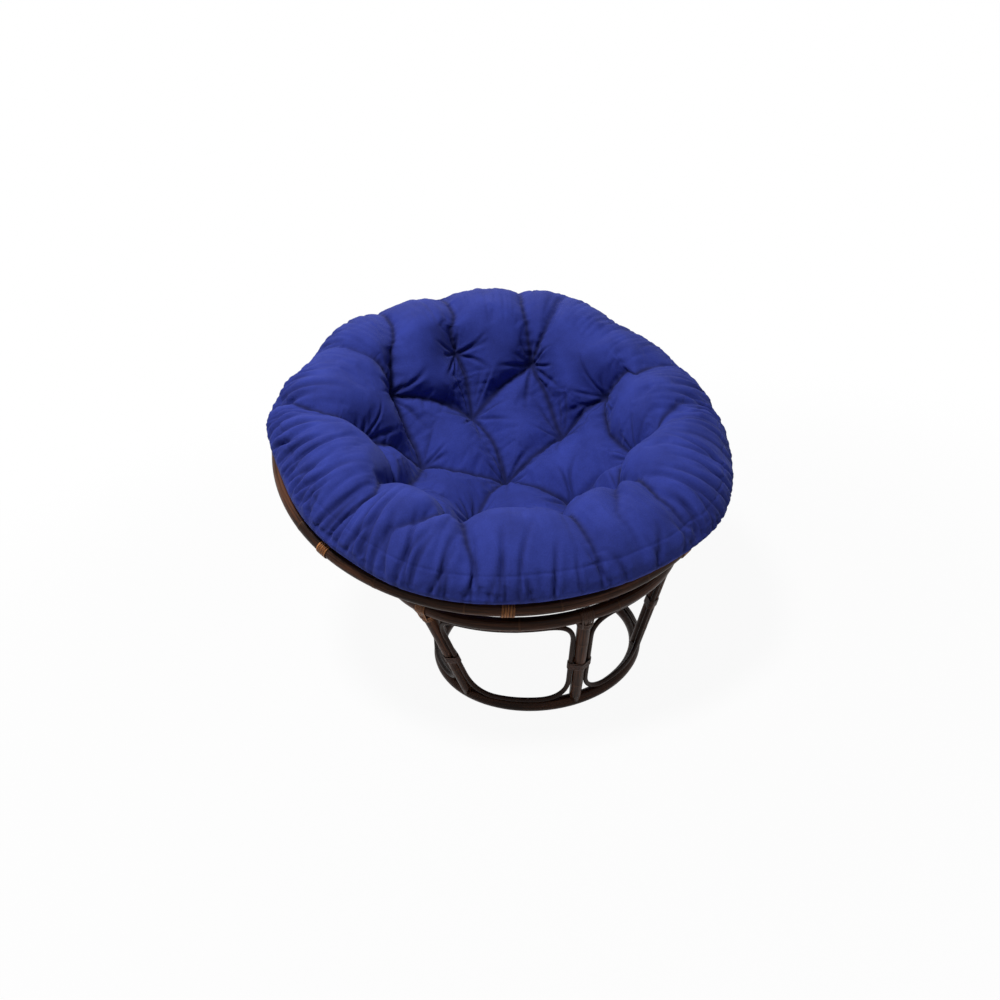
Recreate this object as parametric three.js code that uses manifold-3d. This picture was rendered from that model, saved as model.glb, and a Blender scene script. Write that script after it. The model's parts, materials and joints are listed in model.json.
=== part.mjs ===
// A papasan chair in rattan: a round bowl of ribs and hoops that rests tilted in an open round stand, with a
// thick tufted cushion that lies in the bowl and hangs over its rim.
// Millimetres, +Z up, the chair's front towards -Y. Azimuths count from the front towards +X.
import * as THREE from "three";
import { mergeVertices } from "three/addons/utils/BufferGeometryUtils.js";
import Module from "manifold-3d";

const wasm = await Module();
wasm.setup();

// Gaps between pieces that touch
const touchGap = 0.3; // rigid pieces that lie on each other
const bowlGap = 0.5; // the bowl's outside to the stand's top ring, so that the bowl turns in it
const softGap = 0.6; // the cushion to what carries it

// Stand
const topRingRadius = 336; // to the middle of the pole
const topRingHeight = 300.5; // floor to the middle of the pole
const topRingPole = 28;
const footRingRadius = 245;
const footRingPole = 29;
const postTopPole = 28.5;
const postFootPole = 26.5;
const postCount = 6;
const copeShare = 0.3; // of a ring's radius, from its middle to the tips of the post's hollowed end

// Bent loops between the posts, and the straps that hold them to the posts
const loopCane = 11;
const loopBend = 62; // from a loop's corner to where its bend starts
const loopSplice = 0.5; // between the two ends of a loop's cane
const strapHeight = 22;
const strapThickness = 1.8;
const strapPlaceShare = 0.46; // of the way up a post

// Lashings where the posts meet the top ring
const lashingThickness = 2.2;
const lashingWidth = 32; // along the ring
const lashingDrop = 15; // down the post, below the ring

// Bowl
const bowlRadius = 657.5; // sphere through the outsides of the ribs
const rimAboveRing = 32.5; // along the ball at the front, from the top ring to the middle of the rim
const rimRadius = 519; // to the middle of the pole
const rimPole = 28;
const rimInset = 3; // from the bowl's sphere in to the outside of the rim
const ribPole = 20;
const ribCount = 16;
const hoopPole = 16;
const innerHoopRadius = 88;
const middleHoopRadius = 352;
const ribTail = 12; // length of a rib past the middle of the inner hoop

// Bindings wound round the rim over every second rib
const bindingAzimuth = -17.5; // degrees, of the first one
const bindingTurns = 5;
const bindingPitch = 5.4;
const bindingStrip = 4.6;
const bindingThickness = 1.6;

// Cushion
const crownThickness = 141; // of the pillows in the middle of the seat
const shoulderThickness = 178; // of the pillows at the outer tufts
const seamOverhang = 23; // edge seam past the middle of the rim
const seamHeight = 44; // above the middle of the rim
const rollTopInset = 117; // from the middle of the rim in to the top of the outer roll
const rollTopHeight = 116; // above the middle of the rim
// How far the roll lies out of its circle, round the chair in even steps from the front towards +X
const rollOuts = [-9, 11, -12, -29, -29, -6, -8, -2, -8, -22, -17, -2];
const rollRises = [7, 6, 2, -16, -24, 0, -6, -2, -9, 0, 4, 6]; // and how much higher it is there
const tuftDepth = 66;
const outerTuftInset = 236; // from the middle of the rim in to the outer tufts
const outerTuftCount = 10;
const innerTuftShare = 0.63; // of the outer tufts' circle
const innerTuftCount = 5;
const pillowWidth = 92; // from a crease to where the pillow beside it is full
const underEdgeShare = 0.93; // of the way from the bowl's lowest point up to the rim, where the underside ends

// Sides and steps of the round forms
const poleSides = 12;
const ringSteps = 48;
const rimSteps = 4 * ribCount; // a straight stretch over each rib
const caneSides = 6;
const loopSteps = 32;
const ribSides = 8;
const ribSteps = 8;
const hoopSteps = 36;
const bindingSteps = 10; // to a turn
const cushionSteps = 60;
const ballSteps = 120;
const lashingSides = 8;
const lashingSteps = 2; // along the ring
const strapSteps = 2; // to each stretch of its outline

const fullTurn = 2 * Math.PI;
const quarterTurn = Math.PI / 2;
const postSpacing = fullTurn / postCount;
const ribSpacing = fullTurn / ribCount;

// Heights, and the wall of the stand: a cone through the middles of its two rings
const footRingHeight = (footRingPole / 2) * Math.cos(Math.PI / poleSides); // its flat underside is on the floor
const wallFoot = new THREE.Vector2(footRingRadius, footRingHeight);
const wallTop = new THREE.Vector2(topRingRadius, topRingHeight);
const wallLength = wallFoot.distanceTo(wallTop);
const wallLean = Math.atan2(topRingRadius - footRingRadius, topRingHeight - footRingHeight);
const wallAt = (length) => wallFoot.clone().lerp(wallTop, length / wallLength);

// The ball of the bowl lies in the top ring, so its centre is the point that the bowl turns about
const ballToRing = bowlRadius + bowlGap + topRingPole / 2;
const ballHeight = topRingHeight + Math.sqrt(ballToRing ** 2 - topRingRadius ** 2);
const ringAngle = Math.asin(topRingRadius / ballToRing);

// Bowl, measured from the centre of its ball
const ribFlat = (ribPole / 2) * Math.cos(Math.PI / ribSides); // from a rib's middle to its flats
const ribLine = bowlRadius - ribFlat;
const rimLine = bowlRadius - rimInset - rimPole / 2;
const rimDrop = Math.sqrt(rimLine ** 2 - rimRadius ** 2);
const rimAngle = Math.asin(rimRadius / rimLine);
const bowlTilt = rimAngle - ringAngle - rimAboveRing / bowlRadius; // forwards, until the rim is near the top ring
const ribStart = (innerHoopRadius - ribTail) / ribLine;
const ribSag = ribLine * (1 - Math.cos((rimAngle - ribStart) / ribSteps / 2)); // of a rib's facets
const hoopLine = ribLine - ribFlat - ribSag - touchGap - hoopPole / 2;
const hoopAngle = (radius) => Math.asin(radius / hoopLine);
const hoopSag = middleHoopRadius * (1 - Math.cos(Math.PI / hoopSteps)) * Math.sin(hoopAngle(middleHoopRadius));
const bindingInside = (rimPole / 2 + touchGap) / Math.cos(Math.PI / bindingSteps);
const bindingOutside = bindingInside + bindingThickness;

// A round section, flat towards -Y
function sectionPoints(diameter, sides) {
  const points = [];
  for (let i = 0; i < sides; i++) {
    const angle = -quarterTurn + ((i + 0.5) * fullTurn) / sides;
    points.push(new THREE.Vector2(Math.cos(angle), Math.sin(angle)).multiplyScalar(diameter / 2));
  }
  return points;
}

// A ring of round pole about the Z axis, flat underneath
function ringOf(radius, diameter, sides, steps) {
  const profile = sectionPoints(diameter, sides).map((p) => new THREE.Vector2(radius + p.x, p.y));
  profile.push(profile[0].clone());
  return new THREE.LatheGeometry(profile, steps).rotateX(quarterTurn);
}

// A round pole or cane along a curve
function poleAlong(curve, diameter, sides, steps) {
  const section = new THREE.Shape(sectionPoints(diameter, sides));
  return new THREE.ExtrudeGeometry(section, { steps, extrudePath: curve });
}

// A stretch of a circle in the XZ plane, between two angles counted from straight down
class BowlArc extends THREE.Curve {
  constructor(radius, from, to) {
    super();
    Object.assign(this, { radius, from, to });
  }
  getPoint(t, target = new THREE.Vector3()) {
    const angle = THREE.MathUtils.lerp(this.from, this.to, t);
    return target.set(this.radius * Math.sin(angle), 0, -this.radius * Math.cos(angle));
  }
}

// A stretch of a level circle, centred on the X axis
class LevelArc extends THREE.Curve {
  constructor(radius, length) {
    super();
    Object.assign(this, { radius, length });
  }
  getPoint(t, target = new THREE.Vector3()) {
    const angle = ((t - 0.5) * this.length) / this.radius;
    return target.set(this.radius * Math.cos(angle), this.radius * Math.sin(angle), 0);
  }
}

// A flat outline laid on the wall of the stand: x runs round the wall, y up its slope
class WallCurve extends THREE.Curve {
  constructor(outline) {
    super();
    this.outline = outline;
  }
  getPoint(t, target = new THREE.Vector3()) {
    const flat = this.outline.getPoint(t);
    const at = wallAt(flat.y);
    const angle = flat.x / at.x;
    return target.set(at.x * Math.cos(angle), at.x * Math.sin(angle), at.y);
  }
}

// A strip wound round a straight stretch of the rim: its frames keep the strip's flat side on the pole
class RimWinding extends THREE.Curve {
  outward(t) {
    const round = Math.PI + rimAngle + (t * bindingTurns + 0.5 / bindingSteps) * fullTurn; // a flat faces the rib
    return new THREE.Vector3(Math.cos(round), 0, Math.sin(round));
  }
  getPoint(t, target = new THREE.Vector3()) {
    target.set(rimRadius, (t - 0.5) * bindingTurns * bindingPitch, 0);
    return target.addScaledVector(this.outward(t), (bindingInside + bindingOutside) / 2);
  }
  computeFrenetFrames(steps) {
    const frames = { tangents: [], normals: [], binormals: [] };
    for (let i = 0; i <= steps; i++) {
      const tangent = this.getTangentAt(i / steps);
      const normal = this.outward(i / steps);
      frames.tangents.push(tangent);
      frames.normals.push(normal);
      frames.binormals.push(new THREE.Vector3().crossVectors(tangent, normal).normalize());
    }
    return frames;
  }
}

function solidOf(geometry) {
  const plain = geometry.clone();
  plain.deleteAttribute("normal");
  plain.deleteAttribute("uv");
  const merged = mergeVertices(plain);
  return new wasm.Manifold(
    new wasm.Mesh({
      numProp: 3,
      vertProperties: new Float32Array(merged.attributes.position.array),
      triVerts: new Uint32Array(merged.index.array),
    }),
  );
}

function geometryOf(solid) {
  const { vertProperties, triVerts } = solid.getMesh();
  const geometry = new THREE.BufferGeometry();
  geometry.setAttribute("position", new THREE.BufferAttribute(vertProperties, 3));
  geometry.setIndex(new THREE.BufferAttribute(triVerts, 1));
  geometry.computeVertexNormals();
  return geometry;
}

// Materials
const darkRattan = () => new THREE.MeshStandardMaterial({ color: 0x3d2a20, roughness: 0.42, metalness: 0 });
const caneRattan = () => new THREE.MeshStandardMaterial({ color: 0x35241c, roughness: 0.45, metalness: 0 });
const strapPeel = () => new THREE.MeshStandardMaterial({ color: 0x4a3022, roughness: 0.5, metalness: 0 });
const copperPeel = () => new THREE.MeshStandardMaterial({ color: 0x9a6638, roughness: 0.45, metalness: 0 });
const blueTwill = () => new THREE.MeshStandardMaterial({ color: 0x2b3aa6, roughness: 0.9, metalness: 0 });

function mesh(name, geometry, material) {
  const made = new THREE.Mesh(geometry, material);
  made.name = name;
  return made;
}

// Turns a piece that was built over +X to its azimuth
const turnFor = (azimuth) => azimuth - quarterTurn;

// The two rings of the stand, and the same rings with room for what lies on them
const topRing = (extra = 0) =>
  ringOf(topRingRadius, topRingPole + 2 * extra, poleSides, ringSteps).translate(0, 0, topRingHeight);
const footRing = (extra = 0) =>
  ringOf(footRingRadius, footRingPole + 2 * extra, poleSides, ringSteps).translate(0, 0, footRingHeight);

// Places a form that was built along +Z from the foot ring's middle onto the lean of the wall
const leanOnWall = (geometry) => geometry.rotateY(wallLean).translate(footRingRadius, 0, footRingHeight);

function postPole(extra = 0) {
  const from = (copeShare * footRingPole) / 2;
  const to = wallLength - (copeShare * topRingPole) / 2;
  const pole = new THREE.CylinderGeometry(postTopPole / 2 + extra, postFootPole / 2 + extra, to - from, poleSides);
  return leanOnWall(pole.rotateX(quarterTurn).translate(0, 0, (from + to) / 2));
}

// A post: its ends are hollowed to sit over the foot ring and under the top ring
function postGeometry(turn) {
  const top = solidOf(topRing(touchGap).rotateZ(-turn));
  const foot = solidOf(footRing(touchGap).rotateZ(-turn));
  return geometryOf(solidOf(postPole()).subtract(top).subtract(foot));
}

// A lashing: wound round the ring and down the post, worn away where the bowl lies on the ring
function lashingGeometry(turn) {
  const fit = touchGap / Math.cos(Math.PI / poleSides);
  const sleeve = poleAlong(
    new LevelArc(topRingRadius, lashingWidth),
    topRingPole + 2 * (touchGap + lashingThickness),
    lashingSides,
    lashingSteps,
  ).translate(0, 0, topRingHeight);
  const collarTop = topRingPole / 2 + touchGap;
  const collar = new THREE.CylinderGeometry(
    postTopPole / 2 + touchGap + lashingThickness,
    postTopPole / 2 + touchGap + lashingThickness,
    collarTop + lashingDrop,
    lashingSides,
  );
  collar.rotateX(quarterTurn).translate(0, 0, wallLength - (collarTop + lashingDrop) / 2);
  const ball = new THREE.SphereGeometry(bowlRadius + bowlGap, ballSteps, ballSteps / 2);
  ball.translate(0, 0, ballHeight);
  return geometryOf(
    solidOf(sleeve)
      .add(solidOf(leanOnWall(collar)))
      .subtract(solidOf(topRing(fit).rotateZ(-turn)))
      .subtract(solidOf(postPole(fit)))
      .subtract(solidOf(ball)),
  );
}

// The outline of a loop on the flat pattern of the wall, from the middle of its lower run round to the same place
const besidePost = postTopPole / 2 + touchGap + loopCane / 2;
const loopHalfWidth = (length) => (wallAt(length).x * postSpacing) / 2 - besidePost;
const loopLow = footRingPole / 2 + touchGap + loopCane / 2;
const loopHigh = wallLength - topRingPole / 2 - touchGap - loopCane / 2;

function loopOutline() {
  const corners = [
    new THREE.Vector2(loopHalfWidth(loopLow), loopLow),
    new THREE.Vector2(loopHalfWidth(loopHigh), loopHigh),
    new THREE.Vector2(-loopHalfWidth(loopHigh), loopHigh),
    new THREE.Vector2(-loopHalfWidth(loopLow), loopLow),
  ];
  const start = new THREE.Vector2(loopSplice / 2, loopLow);
  const end = new THREE.Vector2(-loopSplice / 2, loopLow);
  const stops = [start, ...corners, end];
  const bendPoint = (corner, next) => corner.clone().add(next.clone().sub(corner).setLength(loopBend));
  const outline = new THREE.Path().moveTo(start.x, start.y);
  for (let i = 1; i < stops.length - 1; i++) {
    const from = bendPoint(stops[i], stops[i - 1]);
    const to = bendPoint(stops[i], stops[i + 1]);
    outline.lineTo(from.x, from.y).quadraticCurveTo(stops[i].x, stops[i].y, to.x, to.y);
  }
  return outline.lineTo(end.x, end.y);
}

// An outline drawn tight round a post and the canes on both its sides
function strapOutline(path, postRadius, caneRadius) {
  const lean = Math.acos((postRadius - caneRadius) / besidePost);
  path.absarc(0, besidePost, caneRadius, quarterTurn - lean, quarterTurn + lean);
  path.absarc(0, 0, postRadius, quarterTurn + lean, 3 * quarterTurn - lean);
  path.absarc(0, -besidePost, caneRadius, 3 * quarterTurn - lean, 3 * quarterTurn + lean);
  path.absarc(0, 0, postRadius, 3 * quarterTurn + lean, fullTurn + quarterTurn - lean);
  path.closePath();
  return path;
}

function strapGeometry() {
  const place = strapPlaceShare * wallLength;
  const post = THREE.MathUtils.lerp(postFootPole, postTopPole, strapPlaceShare) / 2 + touchGap;
  const setBack = besidePost ** 2 / (2 * wallAt(place).x); // the canes lie a little nearer to the chair's middle
  const cane = loopCane / 2 + touchGap + setBack;
  const shape = strapOutline(new THREE.Shape(), post + strapThickness, cane + strapThickness);
  shape.holes.push(strapOutline(new THREE.Path(), post, cane));
  const band = new THREE.ExtrudeGeometry(shape, { depth: strapHeight, bevelEnabled: false, curveSegments: strapSteps });
  return leanOnWall(band.translate(0, 0, place - strapHeight / 2));
}

const chair = new THREE.Group();
const stand = new THREE.Group();
stand.add(mesh("stand_top_ring", topRing(), darkRattan()), mesh("stand_foot_ring", footRing(), darkRattan()));

const loopGeometry = poleAlong(new WallCurve(loopOutline()), loopCane, caneSides, loopSteps);
for (let i = 0; i < postCount; i++) {
  const turn = turnFor(i * postSpacing);
  const post = mesh(`stand_post_${i + 1}`, postGeometry(turn), darkRattan());
  const lashing = mesh(`post_lashing_${i + 1}`, lashingGeometry(turn), copperPeel());
  const strap = mesh(`post_strap_${i + 1}`, strapGeometry(), strapPeel());
  const loop = mesh(`stand_loop_${i + 1}`, loopGeometry, caneRattan());
  for (const piece of [post, lashing, strap]) piece.rotation.z = turn;
  loop.rotation.z = turn + postSpacing / 2;
  stand.add(post, lashing, strap, loop);
}
chair.add(stand);

// The bowl, about the centre of its ball
const bowl = new THREE.Group();
bowl.position.z = ballHeight;
bowl.rotation.x = bowlTilt;

// The rim's straight stretches have their middles on its circle, over the ribs
const rimStep = fullTurn / rimSteps;
const rim = mesh("bowl_rim", ringOf(rimRadius / Math.cos(rimStep / 2), rimPole, poleSides, rimSteps), darkRattan());
rim.position.z = -rimDrop;
rim.rotation.z = turnFor(THREE.MathUtils.degToRad(bindingAzimuth)) + rimStep / 2;
bowl.add(rim);

function hoop(name, radius) {
  const made = mesh(name, ringOf(radius, hoopPole, ribSides, hoopSteps), darkRattan());
  made.position.z = -Math.sqrt(hoopLine ** 2 - radius ** 2);
  return made;
}
bowl.add(hoop("bowl_middle_hoop", middleHoopRadius), hoop("bowl_inner_hoop", innerHoopRadius));

// A rib runs from under the inner hoop to the underside of the rim, or of the binding on the rim
function ribGeometry(bound) {
  const reach = touchGap + (bound ? bindingOutside * Math.cos(Math.PI / bindingSteps) : rimPole / 2);
  const end = rimAngle - Math.asin(reach / rimLine);
  return poleAlong(new BowlArc(ribLine, ribStart, end), ribPole, ribSides, ribSteps);
}

const winding = new RimWinding();
const windingSteps = bindingTurns * bindingSteps;
const strip = new THREE.Shape([
  new THREE.Vector2(-bindingThickness / 2, -bindingStrip / 2),
  new THREE.Vector2(bindingThickness / 2, -bindingStrip / 2),
  new THREE.Vector2(bindingThickness / 2, bindingStrip / 2),
  new THREE.Vector2(-bindingThickness / 2, bindingStrip / 2),
]);
const windingGeometry = new THREE.ExtrudeGeometry(strip, { steps: windingSteps, extrudePath: winding });

for (let i = 0; i < ribCount; i++) {
  const turn = turnFor(THREE.MathUtils.degToRad(bindingAzimuth) + i * ribSpacing);
  const bound = i % 2 === 0;
  const rib = mesh(`bowl_rib_${String(i + 1).padStart(2, "0")}`, ribGeometry(bound), darkRattan());
  rib.rotation.z = turn;
  bowl.add(rib);
  if (!bound) continue;
  const binding = mesh(`rim_binding_${i / 2 + 1}`, windingGeometry, copperPeel());
  binding.position.z = -rimDrop;
  binding.rotation.z = turn;
  bowl.add(binding);
}
chair.add(bowl);

// The least gap between two turns of a binding, measured on points along the strip's middle
const windingPoints = winding.getPoints(windingSteps * 4);
let leastGap = Infinity;
windingPoints.forEach((a, i) => {
  for (const b of windingPoints.slice(i + bindingSteps * 2)) {
    leastGap = Math.min(leastGap, a.distanceTo(b) - bindingStrip);
  }
});
console.log(`least gap between the turns of a rim binding: ${leastGap.toFixed(2)} mm`);

// The cushion's section, about the centre of the ball: radii from the bowl's axis and heights
const cushionUnder = hoopLine - hoopSag - hoopPole / 2 - softGap;
const polar = (centre, size, angle) =>
  new THREE.Vector2(centre.x + size * Math.cos(angle), centre.y + size * Math.sin(angle));
const ballCentre = new THREE.Vector2(0, 0);
const rimCentre = new THREE.Vector2(rimRadius, -rimDrop);
const seam = new THREE.Vector2(rimRadius + seamOverhang, seamHeight - rimDrop);
const rollTop = new THREE.Vector2(rimRadius - rollTopInset, rollTopHeight - rimDrop);
const outerTuftRadius = rimRadius - outerTuftInset;
const innerTuftRadius = innerTuftShare * outerTuftRadius;

// The seat over its pillows: it gets thicker from the inner tufts out to the outer ones
function seatPoint(radius) {
  const share = THREE.MathUtils.smoothstep(radius, innerTuftRadius, outerTuftRadius);
  const line = cushionUnder - THREE.MathUtils.lerp(crownThickness, shoulderThickness, share);
  return polar(ballCentre, line, Math.asin(radius / line) - quarterTurn);
}

// The underside, from under the middle of the seat out and over the rim
function underSection() {
  const [inner, middle] = [hoopAngle(innerHoopRadius), hoopAngle(middleHoopRadius)]; // it lies on both hoops
  const underAngles = [inner, (inner + middle) / 2, middle, underEdgeShare * rimAngle];
  const overRimShares = [0.84, 0.63, 0.42]; // of a half turn, from the inside of the rim to over it
  const facetSag = rimRadius * (1 - Math.cos(Math.PI / cushionSteps));
  const overRimStep = (overRimShares[0] - overRimShares[1]) * Math.PI;
  const rimRoom = (bindingOutside + softGap + facetSag) / Math.cos(overRimStep / 2);
  return [
    ...underAngles.map((angle) => polar(ballCentre, cushionUnder, angle - quarterTurn)),
    ...overRimShares.map((share) => polar(rimCentre, rimRoom, share * Math.PI)),
  ];
}

// The outline over the pillows, from the edge seam over the roll and in to the middle of the seat
function pillowSection() {
  const outerShares = [0, 0.18, 0.42, 0.69, 1]; // of a quarter turn, from the seam to the top of the roll
  const innerInShares = [0.45, 0.72]; // of the way from the top of the roll in to the outer tufts
  const innerDownShares = [0.14, 0.5]; // of the way down to them
  const seatShares = [1, 0.72, 0.48, 0.23, 0]; // of the inner tufts' circle
  const outerTuft = seatPoint(outerTuftRadius);
  return [
    ...outerShares.map((share) => {
      const along = new THREE.Vector2(Math.cos(share * quarterTurn), Math.sin(share * quarterTurn));
      return new THREE.Vector2(
        THREE.MathUtils.lerp(rollTop.x, seam.x, along.x),
        THREE.MathUtils.lerp(seam.y, rollTop.y, along.y),
      );
    }),
    ...innerInShares.map((share, i) => {
      return new THREE.Vector2(
        THREE.MathUtils.lerp(rollTop.x, outerTuft.x, share),
        THREE.MathUtils.lerp(rollTop.y, outerTuft.y, innerDownShares[i]),
      );
    }),
    outerTuft,
    seatPoint((outerTuftRadius + innerTuftRadius) / 2),
    ...seatShares.map((share) => seatPoint(share * innerTuftRadius)),
  ];
}

// A value between those of a list that goes round the chair
function between(values, azimuth) {
  const place = (THREE.MathUtils.euclideanModulo(azimuth, fullTurn) / fullTurn) * values.length;
  const step = Math.floor(place);
  const share = THREE.MathUtils.smoothstep(place, step, step + 1);
  return THREE.MathUtils.lerp(values[step % values.length], values[(step + 1) % values.length], share);
}

// A point of the section at an azimuth, and one over the pillows, where the roll lies further out or in, and
// higher or lower, as its lists say
const spun = ({ x, y }, azimuth) => new THREE.Vector3(x * Math.sin(azimuth), -x * Math.cos(azimuth), y);
function swayed({ x, y }, azimuth) {
  const share = THREE.MathUtils.smoothstep(x, outerTuftRadius, rollTop.x);
  const high = Math.min(1, (y + rimDrop) / rollTopHeight);
  return spun(
    { x: x + share * between(rollOuts, azimuth), y: y + share * high * between(rollRises, azimuth) },
    azimuth,
  );
}

// The creases, as short straight stretches over the pillows with the depths of their two ends. Each runs from
// the seam over the roll to an outer tuft, and every second one on over an inner tuft to the middle one.
function creaseStretches() {
  const rollShares = [0.1, 0.3, 0.42, 0.48, 0.52, 0.56, 0.72, 1]; // of a tuft's depth, from the seam in to a tuft
  const seatShares = [0.55, 1, 0.6, 0.5, 0.65, 1]; // and from there to the middle
  const stretches = [];
  for (let i = 0; i < outerTuftCount; i++) {
    const azimuth = Math.PI + (i * fullTurn) / outerTuftCount;
    const shares = (i * innerTuftCount) % outerTuftCount === 0 ? [...rollShares, ...seatShares] : rollShares;
    const depths = shares.map((share) => share * tuftDepth);
    const places = pillowSection().map((point) => swayed(point, azimuth));
    for (let j = 1; j < depths.length; j++) {
      stretches.push({ line: new THREE.Line3(places[j - 1], places[j]), from: depths[j - 1], to: depths[j] });
    }
  }
  return stretches;
}

// How deep the creases draw the cushion in at a place: full at a crease, and none a pillow's width away from it
const stretches = creaseStretches();
function depthAt(place) {
  const nearest = new THREE.Vector3();
  let depth = 0;
  for (const { line, from, to } of stretches) {
    const t = line.closestPointToPointParameter(place, true);
    const away = Math.min(1, line.at(t, nearest).distanceTo(place) / pillowWidth);
    depth = Math.max(depth, THREE.MathUtils.lerp(from, to, t) * (1 - away) ** 2);
  }
  return depth;
}

function cushionGeometry() {
  const under = underSection();
  const pillows = pillowSection();
  const section = [...under, ...pillows.slice(0, -1)];
  const positions = [0, 0, -cushionUnder];
  for (let ring = 0; ring < section.length; ring++) {
    const along = (section[ring + 1] ?? pillows.at(-1)).clone().sub(section[ring - 1] ?? section[ring]);
    const outward = new THREE.Vector2(along.y, -along.x).normalize();
    for (let j = 0; j < cushionSteps; j++) {
      const azimuth = (j * fullTurn) / cushionSteps;
      const over = ring >= under.length;
      const depth = over ? depthAt(swayed(section[ring], azimuth)) : 0;
      const point = section[ring].clone().addScaledVector(outward, -depth);
      positions.push(...(over ? swayed(point, azimuth) : spun(point, azimuth)));
    }
  }
  positions.push(0, 0, pillows.at(-1).y - tuftDepth);
  const last = positions.length / 3 - 1;
  const index = [];
  const at = (ring, j) => 1 + ring * cushionSteps + (j % cushionSteps);
  for (let j = 0; j < cushionSteps; j++) {
    index.push(0, at(0, j + 1), at(0, j));
    index.push(last, at(section.length - 1, j), at(section.length - 1, j + 1));
    for (let ring = 0; ring < section.length - 1; ring++) {
      index.push(at(ring, j), at(ring, j + 1), at(ring + 1, j + 1));
      index.push(at(ring, j), at(ring + 1, j + 1), at(ring + 1, j));
    }
  }
  const geometry = new THREE.BufferGeometry();
  geometry.setAttribute("position", new THREE.Float32BufferAttribute(positions, 3));
  geometry.setIndex(index);
  geometry.computeVertexNormals();
  return geometry;
}
bowl.add(mesh("cushion", cushionGeometry(), blueTwill()));

// The origin is on the floor under the middle of the whole chair
chair.updateMatrixWorld(true);
const middle = new THREE.Box3().setFromObject(chair, true).getCenter(new THREE.Vector3());
chair.position.set(-middle.x, -middle.y, 0);

export default chair;
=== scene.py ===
import bpy, json, math
import numpy as np
from mathutils import Matrix, Vector


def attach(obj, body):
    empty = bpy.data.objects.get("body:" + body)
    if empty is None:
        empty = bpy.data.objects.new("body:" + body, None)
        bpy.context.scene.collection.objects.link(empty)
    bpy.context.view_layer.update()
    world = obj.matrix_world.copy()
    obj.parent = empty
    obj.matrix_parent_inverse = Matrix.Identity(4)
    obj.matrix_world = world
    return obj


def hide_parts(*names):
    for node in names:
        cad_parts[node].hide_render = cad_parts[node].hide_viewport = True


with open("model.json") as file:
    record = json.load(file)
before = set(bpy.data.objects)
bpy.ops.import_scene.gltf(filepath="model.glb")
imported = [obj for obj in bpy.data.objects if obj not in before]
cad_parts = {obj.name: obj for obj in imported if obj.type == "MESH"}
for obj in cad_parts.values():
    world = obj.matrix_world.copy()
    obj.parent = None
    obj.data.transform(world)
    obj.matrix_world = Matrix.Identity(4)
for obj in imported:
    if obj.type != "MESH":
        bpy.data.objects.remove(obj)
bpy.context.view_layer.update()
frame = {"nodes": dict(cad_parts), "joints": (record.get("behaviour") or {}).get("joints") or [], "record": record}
print("frame loaded:", len(frame["nodes"]), "nodes")

mm = 0.001
fullTurn = 2 * math.pi
scene = bpy.context.scene
joints = {joint["name"]: joint for joint in frame["joints"]}
bodyOf = {node: body for body, members in frame["record"]["behaviour"]["bodies"].items() for node in members}
ballCentre = np.array(joints["bowl_tilt"]["pos_m"])  # the bowl turns about it
liftAxis = np.array(joints["cushion_lift"]["axis"])
bowlAcross = np.array([1.0, 0.0, 0.0])
# the bowl's directions: across, to the back, and along its axis
bowlWays = np.array([bowlAcross, np.cross(liftAxis, bowlAcross), liftAxis])
standCentre = np.array([0.0, ballCentre[1], 0.0])
up = np.array([0.0, 0.0, 1.0])
random = np.random.default_rng(seed=11)


# Points about an axis: a radius, an azimuth from the front towards +X, and a height along the axis
def aroundAxis(radius, azimuth, height=0.0):
    radius, azimuth, height = np.broadcast_arrays(radius, azimuth, height)
    return np.stack([radius * np.sin(azimuth), -radius * np.cos(azimuth), height], -1)


def standPoint(radius, azimuth, height):  # the height is above the floor
    return standCentre + aroundAxis(radius, azimuth, height)


def bowlPoint(radius, azimuth, height):  # the height is above the ball's centre
    return ballCentre + aroundAxis(radius, azimuth, height) @ bowlWays


def unit(vectors):
    return vectors / np.maximum(np.linalg.norm(vectors, axis=-1, keepdims=True), 1e-12)


def runs(points):  # the length along a line to each of its points
    return np.append(0, np.cumsum(np.linalg.norm(np.diff(points, axis=0), axis=1)))


def angles(count):  # evenly round a circle
    return np.arange(count) * fullTurn / count


def camelName(name):  # stand_post_1 becomes standPost1
    first, *rest = name.split("_")
    return first + "".join(word.capitalize() for word in rest)


# Shader helpers
class Signal:  # wraps a socket, so that sums and products written in Python add Math nodes
    def __init__(self, finish, socket):
        self.finish, self.socket = finish, socket

    def __add__(self, other):
        return self.finish.math("ADD", self, other)

    def __sub__(self, other):
        return self.finish.math("SUBTRACT", self, other)

    def __rsub__(self, other):
        return self.finish.math("SUBTRACT", other, self)

    def __mul__(self, other):
        return self.finish.math("MULTIPLY", self, other)

    __radd__, __rmul__ = __add__, __mul__

    def beside(self, output):  # another output of the same node
        return Signal(self.finish, self.socket.node.outputs[output])


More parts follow.
